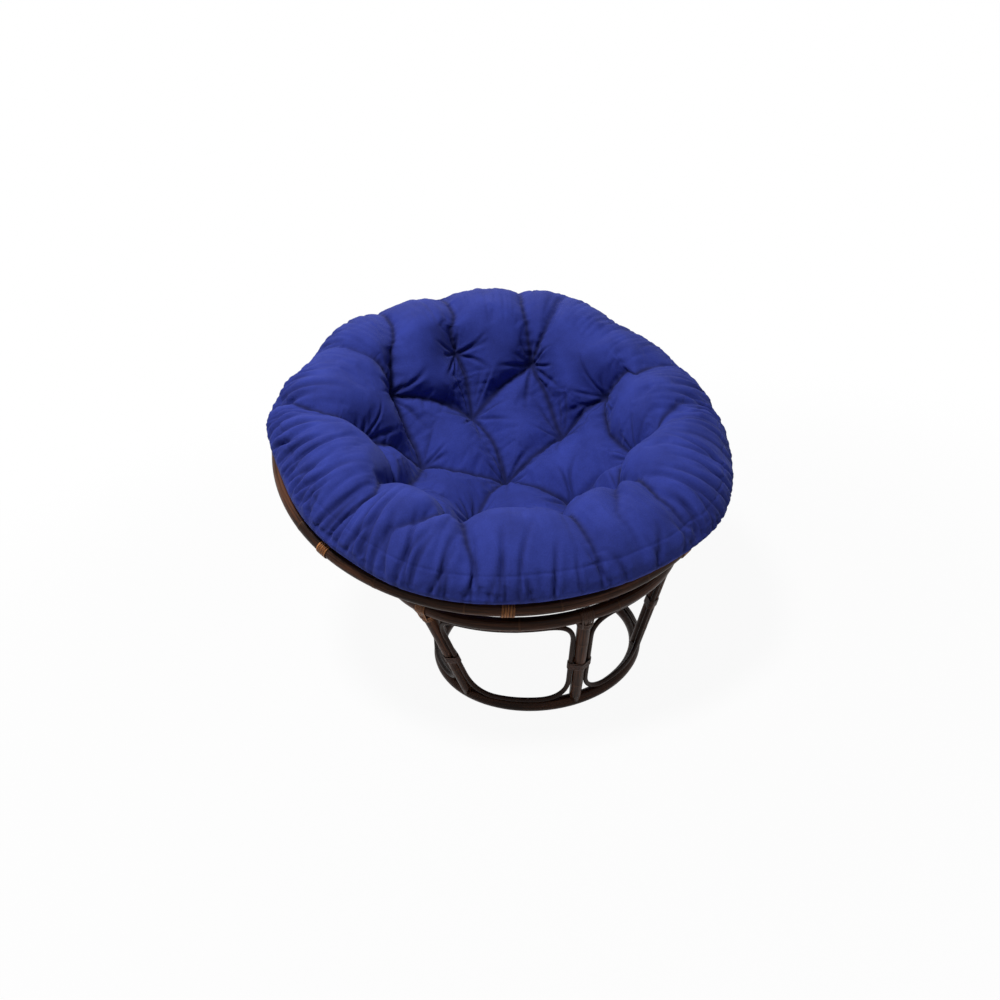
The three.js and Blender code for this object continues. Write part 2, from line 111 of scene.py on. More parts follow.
class Finish:  # the material of one slot, or the world, and its node tree
    def __init__(self, slot, kind="materials", shader="Principled BSDF", **sockets):
        self.slot, self.made = slot, getattr(bpy.data, kind).new(camelName(slot))
        self.made.use_nodes = True
        self.tree = self.made.node_tree
        self.shader = self.tree.nodes[shader]
        self.give(**sockets)

    def give(self, **sockets):  # values or links for the shader's own sockets
        for name, value in sockets.items():
            self.feed(self.shader.inputs[name.replace("_", " ")], value)

    def feed(self, socket, value):
        if isinstance(value, Signal):
            self.tree.links.new(value.socket, socket)
        else:
            socket.default_value = value

    # type of node, its settings, its sockets' values or links, and which output is used
    def node(self, kind, settings=None, sockets=None, output=0):
        made = self.tree.nodes.new(kind)
        for key, value in (settings or {}).items():
            setattr(made, key, value)
        for key, value in (sockets or {}).items():
            self.feed(made.inputs[key], value)
        return Signal(self, made.outputs[output])

    def math(self, operation, *values):
        return self.node("ShaderNodeMath", {"operation": operation}, dict(enumerate(values)))

    def mix(self, amount, first, second):
        first, second = (colour if isinstance(colour, Signal) else (*colour, 1) for colour in (first, second))
        return self.node("ShaderNodeMix", {"data_type": "RGBA"}, {0: amount, 6: first, 7: second}, 2)

    def attribute(self, name, output="Vector"):
        return self.node("ShaderNodeAttribute", {"attribute_name": name}, output=output)

    def stretched(self, place, factors):
        return self.node("ShaderNodeVectorMath", {"operation": "MULTIPLY"}, {0: place, 1: factors})

    def noise(self, place, scale, detail, rough):
        return self.node("ShaderNodeTexNoise", sockets={
            "Vector": place, "Scale": scale, "Detail": detail, "Roughness": rough})

    def ramp(self, amount, low, high):  # 0 below low and 1 above high
        return self.node("ShaderNodeMapRange", {"interpolation_type": "SMOOTHSTEP"},
                         {"Value": amount, "From Min": low, "From Max": high})

    def bump(self, height, strength, distance):
        self.give(Normal=self.node("ShaderNodeBump", sockets={
            "Strength": strength, "Distance": distance, "Height": height}))

    def seen(self):  # 1 for the camera, mirrors and glass, and 0 for what lights the object
        ray = self.node("ShaderNodeLightPath")
        either = self.math("MAXIMUM", ray, ray.beside("Is Glossy Ray"))
        return self.math("MAXIMUM", either, ray.beside("Is Transmission Ray"))


# Mesh helpers: arrays into and out of a mesh's collections
def put(collection, key, values, kind=np.float32):
    collection.foreach_set(key, np.asarray(values).astype(kind).ravel())


def vectorsOf(collection, key):
    values = np.empty(len(collection) * 3, np.float32)
    collection.foreach_get(key, values)
    return values.reshape(-1, 3).astype(float)


def addAttribute(mesh, name, values, domain="POINT"):
    kind, key = ("FLOAT_VECTOR", "vector") if np.ndim(values) == 2 else ("FLOAT", "value")
    put(mesh.attributes.new(name, kind, domain).data, key, values)


# A new piece that stands for a CAD node and rides on its body
def addPiece(mesh, finish, node):
    mesh.materials.append(finish.made)
    piece = bpy.data.objects.new(mesh.name, mesh)
    scene.collection.objects.link(piece)
    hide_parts(node)
    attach(piece, bodyOf[node])
    return piece


grainRadius = 10 * mm  # the grain's place is on a tube of this radius, so that it closes round a piece


# A piece of one or more surfaces of two parameters. Each has a grid of points by row and column, its rows'
# lengths down the piece in metres, for patterns that follow it, and its rows' marks, from 0 to 1, where the
# finish differs. The columns close round; the rows close too, or else each end has a fan.
def surfacePiece(node, surfaces, finish, closed=False):
    points, marks, faces, places, turns = [], [], [], [], []
    before = 0
    for grid, along, mark in surfaces:
        rows, columns = grid.shape[:2]
        spots = grid.reshape(-1, 3)
        along = np.append(along, along[-1] + along[1] - along[0])
        i, j = (index.ravel() for index in np.indices((rows if closed else rows - 1, columns)))
        row, nextRow, nextJ = i * columns, (i + 1) % rows * columns, (j + 1) % columns
        parts = [np.stack([row + j, row + nextJ, nextRow + nextJ, nextRow + j], 1)]
        place = [along[np.stack([i, i, i + 1, i + 1], 1)]]
        turn = [np.stack([j, j + 1, j + 1, j], 1) * (fullTurn / columns)]
        if not closed:
            j, nextJ = np.arange(columns), (np.arange(columns) + 1) % columns
            last = (rows - 1) * columns
            for end, one, two in ((0, nextJ, j), (rows - 1, last + j, last + nextJ)):
                parts.append(np.stack([np.full(columns, len(spots)), one, two], 1))
                place.append(np.full((columns, 3), along[end]))
                turn.append(np.zeros((columns, 3)))
                spots = np.append(spots, [grid[end].mean(0)], 0)
        # faces point outwards: where the volume that they enclose comes out negative, every face is turned
        # over
        volume = sum(np.sum(spots[part[:, 0]] * np.cross(spots[part[:, k]], spots[part[:, k + 1]]))
                     for part in parts for k in range(1, part.shape[1] - 1))
        if volume < 0:
            parts, place, turn = ([part[:, ::-1] for part in group] for group in (parts, place, turn))
        faces += [part + before for part in parts]
        places += place
        turns += turn
        points.append(spots)
        marks.append(np.append(np.repeat(mark, columns), np.zeros(len(spots) - rows * columns)))
        before += len(spots)
    corners, place, turn = (np.concatenate([part.ravel() for part in group])
                            for group in (faces, places, turns))
    totals = np.concatenate([np.full(len(part), part.shape[1]) for part in faces])
    mesh = bpy.data.meshes.new(camelName(node))
    mesh.vertices.add(before)
    put(mesh.vertices, "co", np.concatenate(points))
    mesh.loops.add(len(corners))
    put(mesh.loops, "vertex_index", corners, np.int32)
    mesh.polygons.add(len(totals))
    put(mesh.polygons, "loop_start", np.cumsum(totals) - totals, np.int32)
    put(mesh.polygons, "loop_total", totals, np.int32)
    put(mesh.polygons, "use_smooth", np.ones(len(totals)), bool)
    grain = np.stack([place, grainRadius * np.cos(turn), grainRadius * np.sin(turn)], 1)
    addAttribute(mesh, "grain", grain, "CORNER")
    addAttribute(mesh, "joint", np.concatenate(marks))
    mesh.update(calc_edges=True)
    mesh.validate()
    return addPiece(mesh, finish, node)


# A section carried along a path: each row is the path's point plus the section's two offsets, times the
# row's normal and side directions
def carried(path, normal, side, sectionOut, sectionSide):
    return path[:, None] + normal[:, None] * sectionOut[..., None] + side[:, None] * sectionSide[..., None]


# Rattan poles
pole = {
    "sides": 20,
    "step": 6 * mm,  # between rows
    "spacing": (150 * mm, 290 * mm),  # between the cane's own joints, at random
    "firstShares": (0.4, 1.0), "lastShare": 0.25,  # of the least spacing, from its start and to its end
    "clear": 30 * mm, "clearOf": (),  # no joint lies closer than this to these lengths
    "rise": 0.45 * mm, "width": 4 * mm, "notch": 0.8,  # of a joint; its notch is a share of its rise
    "nearRows": (-6, -3, -1.2, -0.4, 0.4, 1.2, 3, 6),  # rows beside a joint, in mm from it
    "leastStep": 0.25 * mm,
    "waver": 0.10 * mm,  # of the radius along a pole
    "endShares": (0.75, 0.93), "endReach": (1.2 * mm, 0.7 * mm),  # two smaller rows that round an end over
}


# Rows along a pole: even steps, with more rows round each of the cane's joints
def poleRows(length, look, closed=False):
    spacing = look["spacing"]
    spots, at = [], random.uniform(*look["firstShares"]) * spacing[0]
    while at < length - look["lastShare"] * spacing[0]:
        spots.append(at)
        at += random.uniform(*spacing)
    spots = np.array([s for s in spots if all(abs(s - to) > look["clear"] for to in look["clearOf"])])
    even = np.linspace(0, length, int(length / look["step"]) + 1)
    rows = np.unique(np.append(even, np.add.outer(spots, np.array(look["nearRows"]) * mm)))
    rows = rows[np.append(True, np.diff(rows) > look["leastStep"])]
    return rows[rows < length - 1 * mm] if closed else rows, spots


# Radius of a pole along its length: a small rise at each joint with a fine notch in it, and a slight waver
# of three waves. The mask is 1 at the joints.
def poleRadius(rows, spots, radius, look):
    size, mask = radius + np.zeros(len(rows)), np.zeros(len(rows))
    for waves in (3, 5, 8):
        size += look["waver"] / 3 * np.cos(waves * fullTurn * rows / rows[-1] + random.uniform(0, 6))
    for spot in spots:
        away = (rows - spot) / look["width"]
        size += look["rise"] * (np.exp(-away ** 2) - look["notch"] * np.exp(-(away * 4) ** 2))
        mask = np.maximum(mask, np.exp(-(away * 1.6) ** 2))
    return size, mask


# A round pole along a path: pathAt gives points, outward directions and sideways directions for lengths
# along it
def polePiece(name, pathAt, length, radius, finish, closed=False, **changes):
    look = {**pole, **changes}
    rows, spots = poleRows(length, look, closed)
    size, mask = poleRadius(rows, spots, radius, look)
    path, normal, side = pathAt(rows)
    if not closed:
        rows, size = np.pad(rows, 2, "edge"), np.pad(size, 2, "edge")
        path, normal, side = (np.pad(each, ((2, 2), (0, 0)), "edge") for each in (path, normal, side))
        ahead = np.cross(side, normal)
        reach, share = np.array(look["endReach"])[:, None], np.array(look["endShares"])
        path[:2] -= ahead[:2] * reach
        path[-2:] += ahead[-2:] * reach[::-1]
        size[:2] *= share
        size[-2:] *= share[::-1]
        mask = np.pad(mask, 2)
    turn = angles(look["sides"])
    grid = carried(path, normal, side, size[:, None] * np.cos(turn), size[:, None] * np.sin(turn))
    return surfacePiece(name, [(grid, rows, mask)], finish, closed)


# Finishes of the frame
stains = {  # dark and light of the grain, the joints' line or the strips' stain and painted edge shade, and the roughness
    "dark_rattan": ((0.016, 0.007, 0.004), (0.120, 0.048, 0.026), (0.13, 0.06, 0.03), 0.3),
    "loop_cane": ((0.010, 0.005, 0.004), (0.050, 0.022, 0.013), (0.06, 0.028, 0.017), 0.34),
    "strap_peel": ((0.022, 0.008, 0.005), (0.10, 0.036, 0.018), (0.02, 0.01, 0.006), 0.36),
    "copper_peel": ((0.14, 0.045, 0.014), (0.62, 0.26, 0.09), (0.035, 0.013, 0.007), 0.3),
}


# Stained rattan: long streaks along the cane, a paler line at each of its joints, a satin lacquer over it
def rattanFinish(slot):
    dark, light, line, roughness = stains[slot]
    finish = Finish(slot, Coat_Weight=0.04, Coat_Roughness=0.15, Specular_IOR_Level=0.07)
    grain = finish.attribute("grain")
    streaks = finish.noise(finish.stretched(grain, (9.0, 420.0, 420.0)), 1.0, 4.0, 0.6)
    broad = finish.noise(finish.stretched(grain, (7.0, 60.0, 60.0)), 1.0, 3.0, 0.5)
    tone = finish.ramp(streaks * 0.55 + broad * 0.45, 0.36, 0.66)
    ring = finish.ramp(finish.attribute("joint", "Fac"), 0.25, 0.95)
    finish.give(Base_Color=finish.mix(ring * 0.4, finish.mix(tone, dark, light), line),
                Roughness=roughness + streaks * 0.16 + ring * 0.1)
    finish.bump(streaks * 0.6 + broad * 0.4, 0.35, 0.0006)
    return finish


# Wound peel: fine fibres along the strip, painted shade along both its edges where one turn meets the
# next, and a stain that reaches some pieces more
def peelFinish(slot):
    dark, light, stain, roughness = stains[slot]
    finish = Finish(slot, Coat_Weight=0.03, Coat_Roughness=0.2, Specular_IOR_Level=0.15)
    grain = finish.attribute("grain")
    fibres = finish.noise(finish.stretched(grain, (14.0, 900.0, 900.0)), 1.0, 3.0, 0.6)
    broad = finish.noise(finish.stretched(grain, (30.0, 90.0, 90.0)), 1.0, 2.0, 0.55)
    colour = finish.mix(finish.ramp(fibres * 0.5 + broad * 0.5, 0.38, 0.66), dark, light)
    across = finish.node("ShaderNodeSeparateXYZ", sockets={0: grain}, output=2) * (1 / grainRadius)
    # painted shade: the colour goes towards the dark stain colour at both edges of the strip
    colour = finish.mix(finish.ramp(finish.math("ABSOLUTE", across), 0.5, 0.98) * 0.7, colour, stain)
    finish.give(Base_Color=finish.mix(finish.attribute("joint", "Fac"), colour, stain),
                Roughness=roughness + fibres * 0.2)
    finish.bump(fibres, 0.4, 0.0004)
    return finish


darkRattan, loopCane = rattanFinish("dark_rattan"), rattanFinish("loop_cane")
strapPeel, copperPeel = peelFinish("strap_peel"), peelFinish("copper_peel")

# Stand
stand = {
    "topRadius": 336 * mm, "topHeight": 300.5 * mm, "topPole": 28 * mm, "topRise": 0.3 * mm,
    "topRoom": 0.15 * mm,
    "footRadius": 245 * mm, "footHeight": 14.006 * mm, "footPole": 28 * mm, "footRise": 0.1 * mm,
    "footRoom": 0.1 * mm,  # a room is what the radius leaves for the waver and the joints
    "posts": 6, "postTop": 28.5 * mm, "postFoot": 26.5 * mm, "postSides": 24,
    "postLook": {"spacing": (110 * mm, 170 * mm), "rise": 0.35 * mm, "waver": 0.05 * mm},
    "postGap": 0.35 * mm, "postEnd": 20 * mm,  # to the rings, and the length where an end's own rows begin
    "endShares": (0.02, 0.35, 0.7, 0.9, 1.0),  # of the post's radius: rows over an end, from its middle out
    "loopCane": 11 * mm, "loopBend": 62 * mm, "loopRoom": 0.1 * mm, "loopLift": 0.5 * mm,
    "loopLook": {"sides": 12, "step": 7 * mm, "rise": 0.25 * mm, "spacing": (220 * mm, 340 * mm)},
    "touch": 0.3 * mm,
}
wallFoot = np.array([stand["footRadius"], stand["footHeight"]])
wallTop = np.array([stand["topRadius"], stand["topHeight"]])
wallLength = float(np.linalg.norm(wallTop - wallFoot))
wallUp = (wallTop - wallFoot) / wallLength  # radius and height for a length up the wall
wallOut = np.array([wallUp[1], -wallUp[0]])


# A level ring as a pole path: the length goes round it from an azimuth
def ringPath(pointAt, radius, height, start, upward):
    def pathAt(lengths):
        azimuth = start + lengths / radius
        path = pointAt(radius, azimuth, height)
        return path, unit(path - pointAt(0.0, azimuth, height)), np.broadcast_to(upward, path.shape)
    return pathAt


for end in ("top", "foot"):
    radius, height, thick, rise, room = (stand[end + key]
                                         for key in ("Radius", "Height", "Pole", "Rise", "Room"))
    polePiece(f"stand_{end}_ring", ringPath(standPoint, radius, height, 0.0, up), fullTurn * radius,
              thick / 2 - room, darkRattan, True, rise=rise)


# A place on the wall of the stand: how far round it from an azimuth, how far up its slope, and how far out
# of it
def wallPoint(azimuth, across, length, out=0.0):
    radius, height = wallFoot[0] + wallUp[0] * length, wallFoot[1] + wallUp[1] * length
    return standPoint(radius + wallOut[0] * out, azimuth + across / radius, height + wallOut[1] * out)


# The foot of a post, and its outward, sideways and upward directions
def postFrame(index):
    azimuth = fullTurn * index / stand["posts"]
    foot = wallPoint(azimuth, 0.0, 0.0)
    sideways = aroundAxis(1.0, azimuth + math.pi / 2)
    return foot, wallPoint(azimuth, 0.0, 0.0, 1.0) - foot, sideways, wallPoint(azimuth, 0.0, 1.0) - foot


# A post: each end follows the ring that it meets. At an angle round the post, its reach is the ring's
# radius and the gap, less what the circle falls away at that distance from the middle.
def makePost(index):
    foot, outward, sideways, upward = postFrame(index)
    look = {**pole, **stand["postLook"]}
    rows, spots = poleRows(wallLength, look)
    rows = rows[(rows > stand["postEnd"]) & (rows < wallLength - stand["postEnd"])]
    taper = stand["postFoot"] + (stand["postTop"] - stand["postFoot"]) * rows / wallLength
    size, mask = poleRadius(rows, spots, taper / 2, look)
    turn = angles(stand["postSides"])
    shares = np.array(stand["endShares"])[:, None]

    def reach(ring):
        return np.sqrt((ring / 2 + stand["postGap"]) ** 2 - (shares * 0.96 * ring / 2 * np.cos(turn)) ** 2)

    middle = np.repeat(rows[:, None], len(turn), 1)
    along = np.concatenate([reach(stand["footPole"]), middle, wallLength - reach(stand["topPole"])[::-1]])
    size = np.concatenate([shares * stand["postFoot"] / 2, size[:, None],
                           shares[::-1] * stand["postTop"] / 2])
    grid = carried(foot + along.mean(1)[:, None] * upward, outward[None], sideways[None],
                   size * np.cos(turn), size * np.sin(turn))
    grid += (along - along.mean(1)[:, None])[..., None] * upward
    ends = len(shares)
    rows = np.pad(rows, ends, constant_values=(12 * mm, wallLength - 12 * mm))
    surfacePiece(f"stand_post_{index + 1}", [(grid, rows, np.pad(mask, ends))], darkRattan)


# The flat outline of a loop on the wall, as points in order: straight runs, with a bend at each corner
# whose point is a quadratic blend of its start, the corner and its end
def loopOutline():
    cane = stand["touch"] + stand["loopCane"] / 2
    low = stand["footPole"] / 2 + cane + stand["loopLift"]
    high = wallLength - stand["topPole"] / 2 - cane
    share, beside = math.pi / stand["posts"], stand["postTop"] / 2 + cane
    lowHalf, highHalf = ((wallFoot[0] + wallUp[0] * length) * share - beside for length in (low, high))
    knots = np.array([(0.0, low), (lowHalf, low), (highHalf, high), (-highHalf, high), (-lowHalf, low),
                      (0.0, low)])
    share = np.linspace(0, 1, 17)[:, None]
    points = [knots[:1]]
    for before, corner, after in zip(knots, knots[1:], knots[2:]):
        start, end = (corner + unit(other - corner) * stand["loopBend"] for other in (before, after))
        points.append((1 - share) ** 2 * start + 2 * share * (1 - share) * corner + share ** 2 * end)
    return np.concatenate(points + [knots[:1]])


outline = loopOutline()
outlineLength = runs(outline)


def loopPath(azimuth):
    def flat(lengths):
        return (np.interp(lengths % outlineLength[-1], outlineLength, outline[:, k]) for k in (0, 1))

    def pathAt(lengths):
        path = wallPoint(azimuth, *flat(lengths))
        out = unit(wallPoint(azimuth, *flat(lengths), 1 * mm) - path)
        after, before = (wallPoint(azimuth, *flat(lengths + step)) for step in (1 * mm, -1 * mm))
        return path, out, np.cross(unit(after - before), out)
    return pathAt


for index in range(stand["posts"]):
    makePost(index)
    middle = fullTurn * (index + 0.5) / stand["posts"]
    polePiece(f"stand_loop_{index + 1}", loopPath(middle), outlineLength[-1],
              stand["loopCane"] / 2 - stand["loopRoom"], loopCane, True, **stand["loopLook"])


# Wound strips
strip = {"sides": 10, "square": 0.55, "endRuns": 18, "thinEnd": 0.35, "narrowEnd": 0.6}


# A strip along a path: a flat section with rounded edges, its wide side square to the path and to its
# normal. Both ends thin down and tuck in.
def stripRows(path, normal, width, thickness, tuck):
    side = unit(np.cross(unit(np.gradient(path, axis=0)), normal))
    turn = angles(strip["sides"]) + math.pi / strip["sides"]
    flatCos, flatSin = (np.sign(wave) * np.abs(wave) ** strip["square"]
                        for wave in (np.cos(turn), np.sin(turn)))
    share = np.linspace(0, 1, len(path))
    ends = np.clip(np.minimum(share, 1 - share) * strip["endRuns"], 0, 1)[:, None]
    out = thickness / 2 * flatCos * (strip["thinEnd"] + (1 - strip["thinEnd"]) * ends) - tuck * (1 - ends)
    across = width / 2 * flatSin * (strip["narrowEnd"] + (1 - strip["narrowEnd"]) * ends)
    return carried(path, normal, side, out, across), runs(path)


# One piece of several strips, each with its path, normals, width, thickness and tuck
def stripsPiece(name, strips, finish, stain=0.0, push=None):
    surfaces = []
    for each in strips:
        grid, lengths = stripRows(*each)
        grid = push(grid) if push else grid
        surfaces.append((grid, lengths + random.uniform(0, 5), np.full(len(grid), stain)))
    surfacePiece(name, surfaces, finish)


strap = {
    "share": 0.46,  # how far up the posts it is
    "turns": 5, "pitch": 4.4 * mm, "width": 4.3 * mm, "thickness": 1.5 * mm, "tuck": 0.3 * mm,
    "tightness": 60, "steps": 72,
}


# A strap goes round a post and the canes on both its sides. Its line is drawn tight round three circles: in
# each direction it lies where the circle that reaches furthest ends, with a soft change from one circle to
# the next.
def makeStrap(index):
    foot, outward, sideways, upward = postFrame(index)
    place = strap["share"] * wallLength
    held = stand["touch"] + strap["thickness"] / 2
    post = (stand["postFoot"] + (stand["postTop"] - stand["postFoot"]) * strap["share"]) / 2 + held
    beside = stand["postTop"] / 2 + stand["touch"] + stand["loopCane"] / 2
    setBack = beside ** 2 / (2 * (wallFoot[0] + wallUp[0] * place))
    cane = stand["loopCane"] / 2 + held
    circles = np.array([[0.0, 0.0, post], [-setBack, beside, cane], [-setBack, -beside, cane]])
    share = np.linspace(0, 1, strap["turns"] * strap["steps"] + 1)
    angle = fullTurn * strap["turns"] * share
    out = np.stack([np.cos(angle), np.sin(angle)], -1)
    support = out @ circles[:, :2].T + circles[:, 2]  # how far each circle reaches in this direction
    weight = np.exp(strap["tightness"] / post * (support - support.max(1, keepdims=True)))
    flat = weight / weight.sum(1, keepdims=True) @ circles
    flat = flat[:, :2] + flat[:, 2:] * out
    rise = place + (share - 0.5) * strap["turns"] * strap["pitch"]
    ways = np.array([outward, sideways])
    path = foot + rise[:, None] * upward + flat @ ways
    sizes = strap["width"], strap["thickness"], strap["tuck"]
    stripsPiece(f"post_strap_{index + 1}", [(path, out @ ways, *sizes)], strapPeel)


lashing = {
    "stains": (0.93, 0.25, 0.7, 0.8, 0.75, 0.1),  # of each lashing
    "strips": 6, "pitch": 4.7 * mm, "width": 4.6 * mm, "thickness": 1.5 * mm, "tuck": 0.2 * mm,
    "touch": 0.25 * mm,
    "overShare": 0.55, "down": 25 * mm,  # of a strip, over the ring; how far down its ends go
    "drawn": 0.42, "slant": 3.2 * mm,  # how far the strips draw together and lean on the way down
    "wraps": 3, "wrapTuck": 0.6 * mm, "wrapSteps": 48,
    "ball": 658.3 * mm,  # nothing stands inside this, because the bowl turns there
}


# A lashing: strips laid over the ring and down both faces of the post, drawn together as they go down, then
# wraps round the post over their ends
def makeLashing(index):
    foot, outward, sideways, upward = postFrame(index)
    top = foot + wallLength * upward
    thick = lashing["thickness"]
    ring = stand["topPole"] / 2 + lashing["touch"] + thick / 2
    share = np.linspace(-1, 1, 61)
    over = np.clip(share / lashing["overShare"], -1, 1) * math.pi / 2  # round the top half of the ring
    down = np.clip(np.abs(share) - lashing["overShare"], 0, 1) / (1 - lashing["overShare"])
    normal = np.sin(over)[:, None] * outward + np.cos(over)[:, None] * upward
    strips = []
    for k in range(lashing["strips"]):
        offset = (k - (lashing["strips"] - 1) / 2) * lashing["pitch"] * (1 - lashing["drawn"] * down ** 0.8)
        slant = np.sign(share) * lashing["slant"] * (1 - np.cos(over)) * (1 if k % 2 else -1)
        path = top + normal * ring - (down * lashing["down"])[:, None] * upward
        path += (offset + slant * down)[:, None] * sideways
        strips.append((path, normal, lashing["width"], thick, lashing["tuck"]))
    share = np.linspace(0, 1, lashing["wraps"] * lashing["wrapSteps"] + 1)
    angle = math.pi / 2 + share * lashing["wraps"] * fullTurn
    lift = 0.5 * mm - stand["topPole"] / 2 - share * lashing["wraps"] * lashing["pitch"]
    normal = np.cos(angle)[:, None] * outward + np.sin(angle)[:, None] * sideways
    path = top + normal * (stand["postTop"] / 2 + stand["touch"] + 1.2 * thick) + lift[:, None] * upward
    strips.append((path, normal, lashing["width"], thick, lashing["wrapTuck"]))

    def push(grid):
        away = grid - ballCentre
        distance = np.linalg.norm(away, axis=-1, keepdims=True)
        return ballCentre + away * np.maximum(distance, lashing["ball"]) / distance
    stripsPiece(f"post_lashing_{index + 1}", strips, copperPeel, lashing["stains"][index], push)


for index in range(stand["posts"]):
    makeStrap(index)
    makeLashing(index)
print("stand built")

# Bowl
bowl = {
    "ball": 657.5 * mm, "rimRadius": 519 * mm, "rimPole": 28 * mm, "rimInset": 3 * mm,
    "rib": 9.7 * mm, "ribs": 16, "ribStart": 76 * mm, "ribInto": 1 * mm, "firstAzimuth": math.radians(-17.5),
    "hoop": 7.9 * mm, "hoopInset": 27.65 * mm,
    "hoops": {"bowl_inner_hoop": 88 * mm, "bowl_middle_hoop": 352 * mm},
    "rimLook": {"rise": 0.6 * mm, "sides": 24}, "hoopLook": {"rise": 0.2 * mm, "sides": 16},
    "ribLook": {"rise": 0.25 * mm, "sides": 16}, "rimRoom": 0.1 * mm, "touch": 0.3 * mm,
    "bindingTurns": 5, "bindingPitch": 5.4 * mm, "bindingWidth": 4.9 * mm, "bindingThickness": 1.7 * mm,
    "bindingTuck": 0.4 * mm, "bindingSteps": 40,
}
ribLine = bowl["ball"] - bowl["rib"]
rimLine = bowl["ball"] - bowl["rimInset"] - bowl["rimPole"] / 2
rimDrop = math.sqrt(rimLine ** 2 - bowl["rimRadius"] ** 2)
rimAngle = math.asin(bowl["rimRadius"] / rimLine)
hoopLine = bowl["ball"] - bowl["hoopInset"]
ribStep = fullTurn / bowl["ribs"]
boundLengths = [k * 2 * ribStep * bowl["rimRadius"] for k in range(bowl["ribs"] // 2 + 1)]

polePiece("bowl_rim", ringPath(bowlPoint, bowl["rimRadius"], -rimDrop, bowl["firstAzimuth"], liftAxis),
          fullTurn * bowl["rimRadius"], bowl["rimPole"] / 2 - bowl["rimRoom"], darkRattan, True,
          clearOf=boundLengths, **bowl["rimLook"])
for name, radius in bowl["hoops"].items():
    polePiece(name, ringPath(bowlPoint, radius, -math.sqrt(hoopLine ** 2 - radius ** 2), 0.0, liftAxis),
              fullTurn * radius, bowl["hoop"], darkRattan, True, **bowl["hoopLook"])


# A rib follows a great circle of the ball, from under the inner hoop to the underside of the rim
def ribPath(azimuth, start):
    def pathAt(lengths):
        angle = start + lengths / ribLine
        path = bowlPoint(ribLine * np.sin(angle), azimuth, -ribLine * np.cos(angle))
        side = np.broadcast_to(bowlPoint(1.0, azimuth + math.pi / 2, 0.0) - ballCentre, path.shape)
        return path, unit(path - ballCentre), -side
    return pathAt


# A binding's path goes round the rim's section while it goes along the rim
def makeBinding(number, azimuth):
    share = np.linspace(0, 1, bowl["bindingTurns"] * bowl["bindingSteps"] + 1)
    angle = math.pi / 2 + rimAngle + share * bowl["bindingTurns"] * fullTurn
    along = azimuth + (share - 0.5) * bowl["bindingTurns"] * bowl["bindingPitch"] / bowl["rimRadius"]
    ring = bowl["rimPole"] / 2 + bowl["touch"] + bowl["bindingThickness"] / 2
    path = bowlPoint(bowl["rimRadius"] + ring * np.cos(angle), along, -rimDrop + ring * np.sin(angle))
    normal = unit(path - bowlPoint(bowl["rimRadius"], along, -rimDrop))
    sizes = bowl["bindingWidth"], bowl["bindingThickness"], bowl["bindingTuck"]
    stripsPiece(f"rim_binding_{number}", [(path, normal, *sizes)], copperPeel)


for index in range(bowl["ribs"]):
    azimuth = bowl["firstAzimuth"] + index * ribStep
    bound = index % 2 == 0  # every second rib ends under a binding
    reach = bowl["rimPole"] / 2 + bowl["touch"] + (bowl["bindingThickness"] if bound else 0.0)
    start, end = bowl["ribStart"] / ribLine, rimAngle - math.asin((reach - bowl["ribInto"]) / rimLine)
    polePiece(f"bowl_rib_{index + 1:02d}", ribPath(azimuth, start), (end - start) * ribLine, bowl["rib"],
              darkRattan, **bowl["ribLook"])
    if bound:
        makeBinding(index // 2 + 1, azimuth)
print("bowl built")

# Cushion

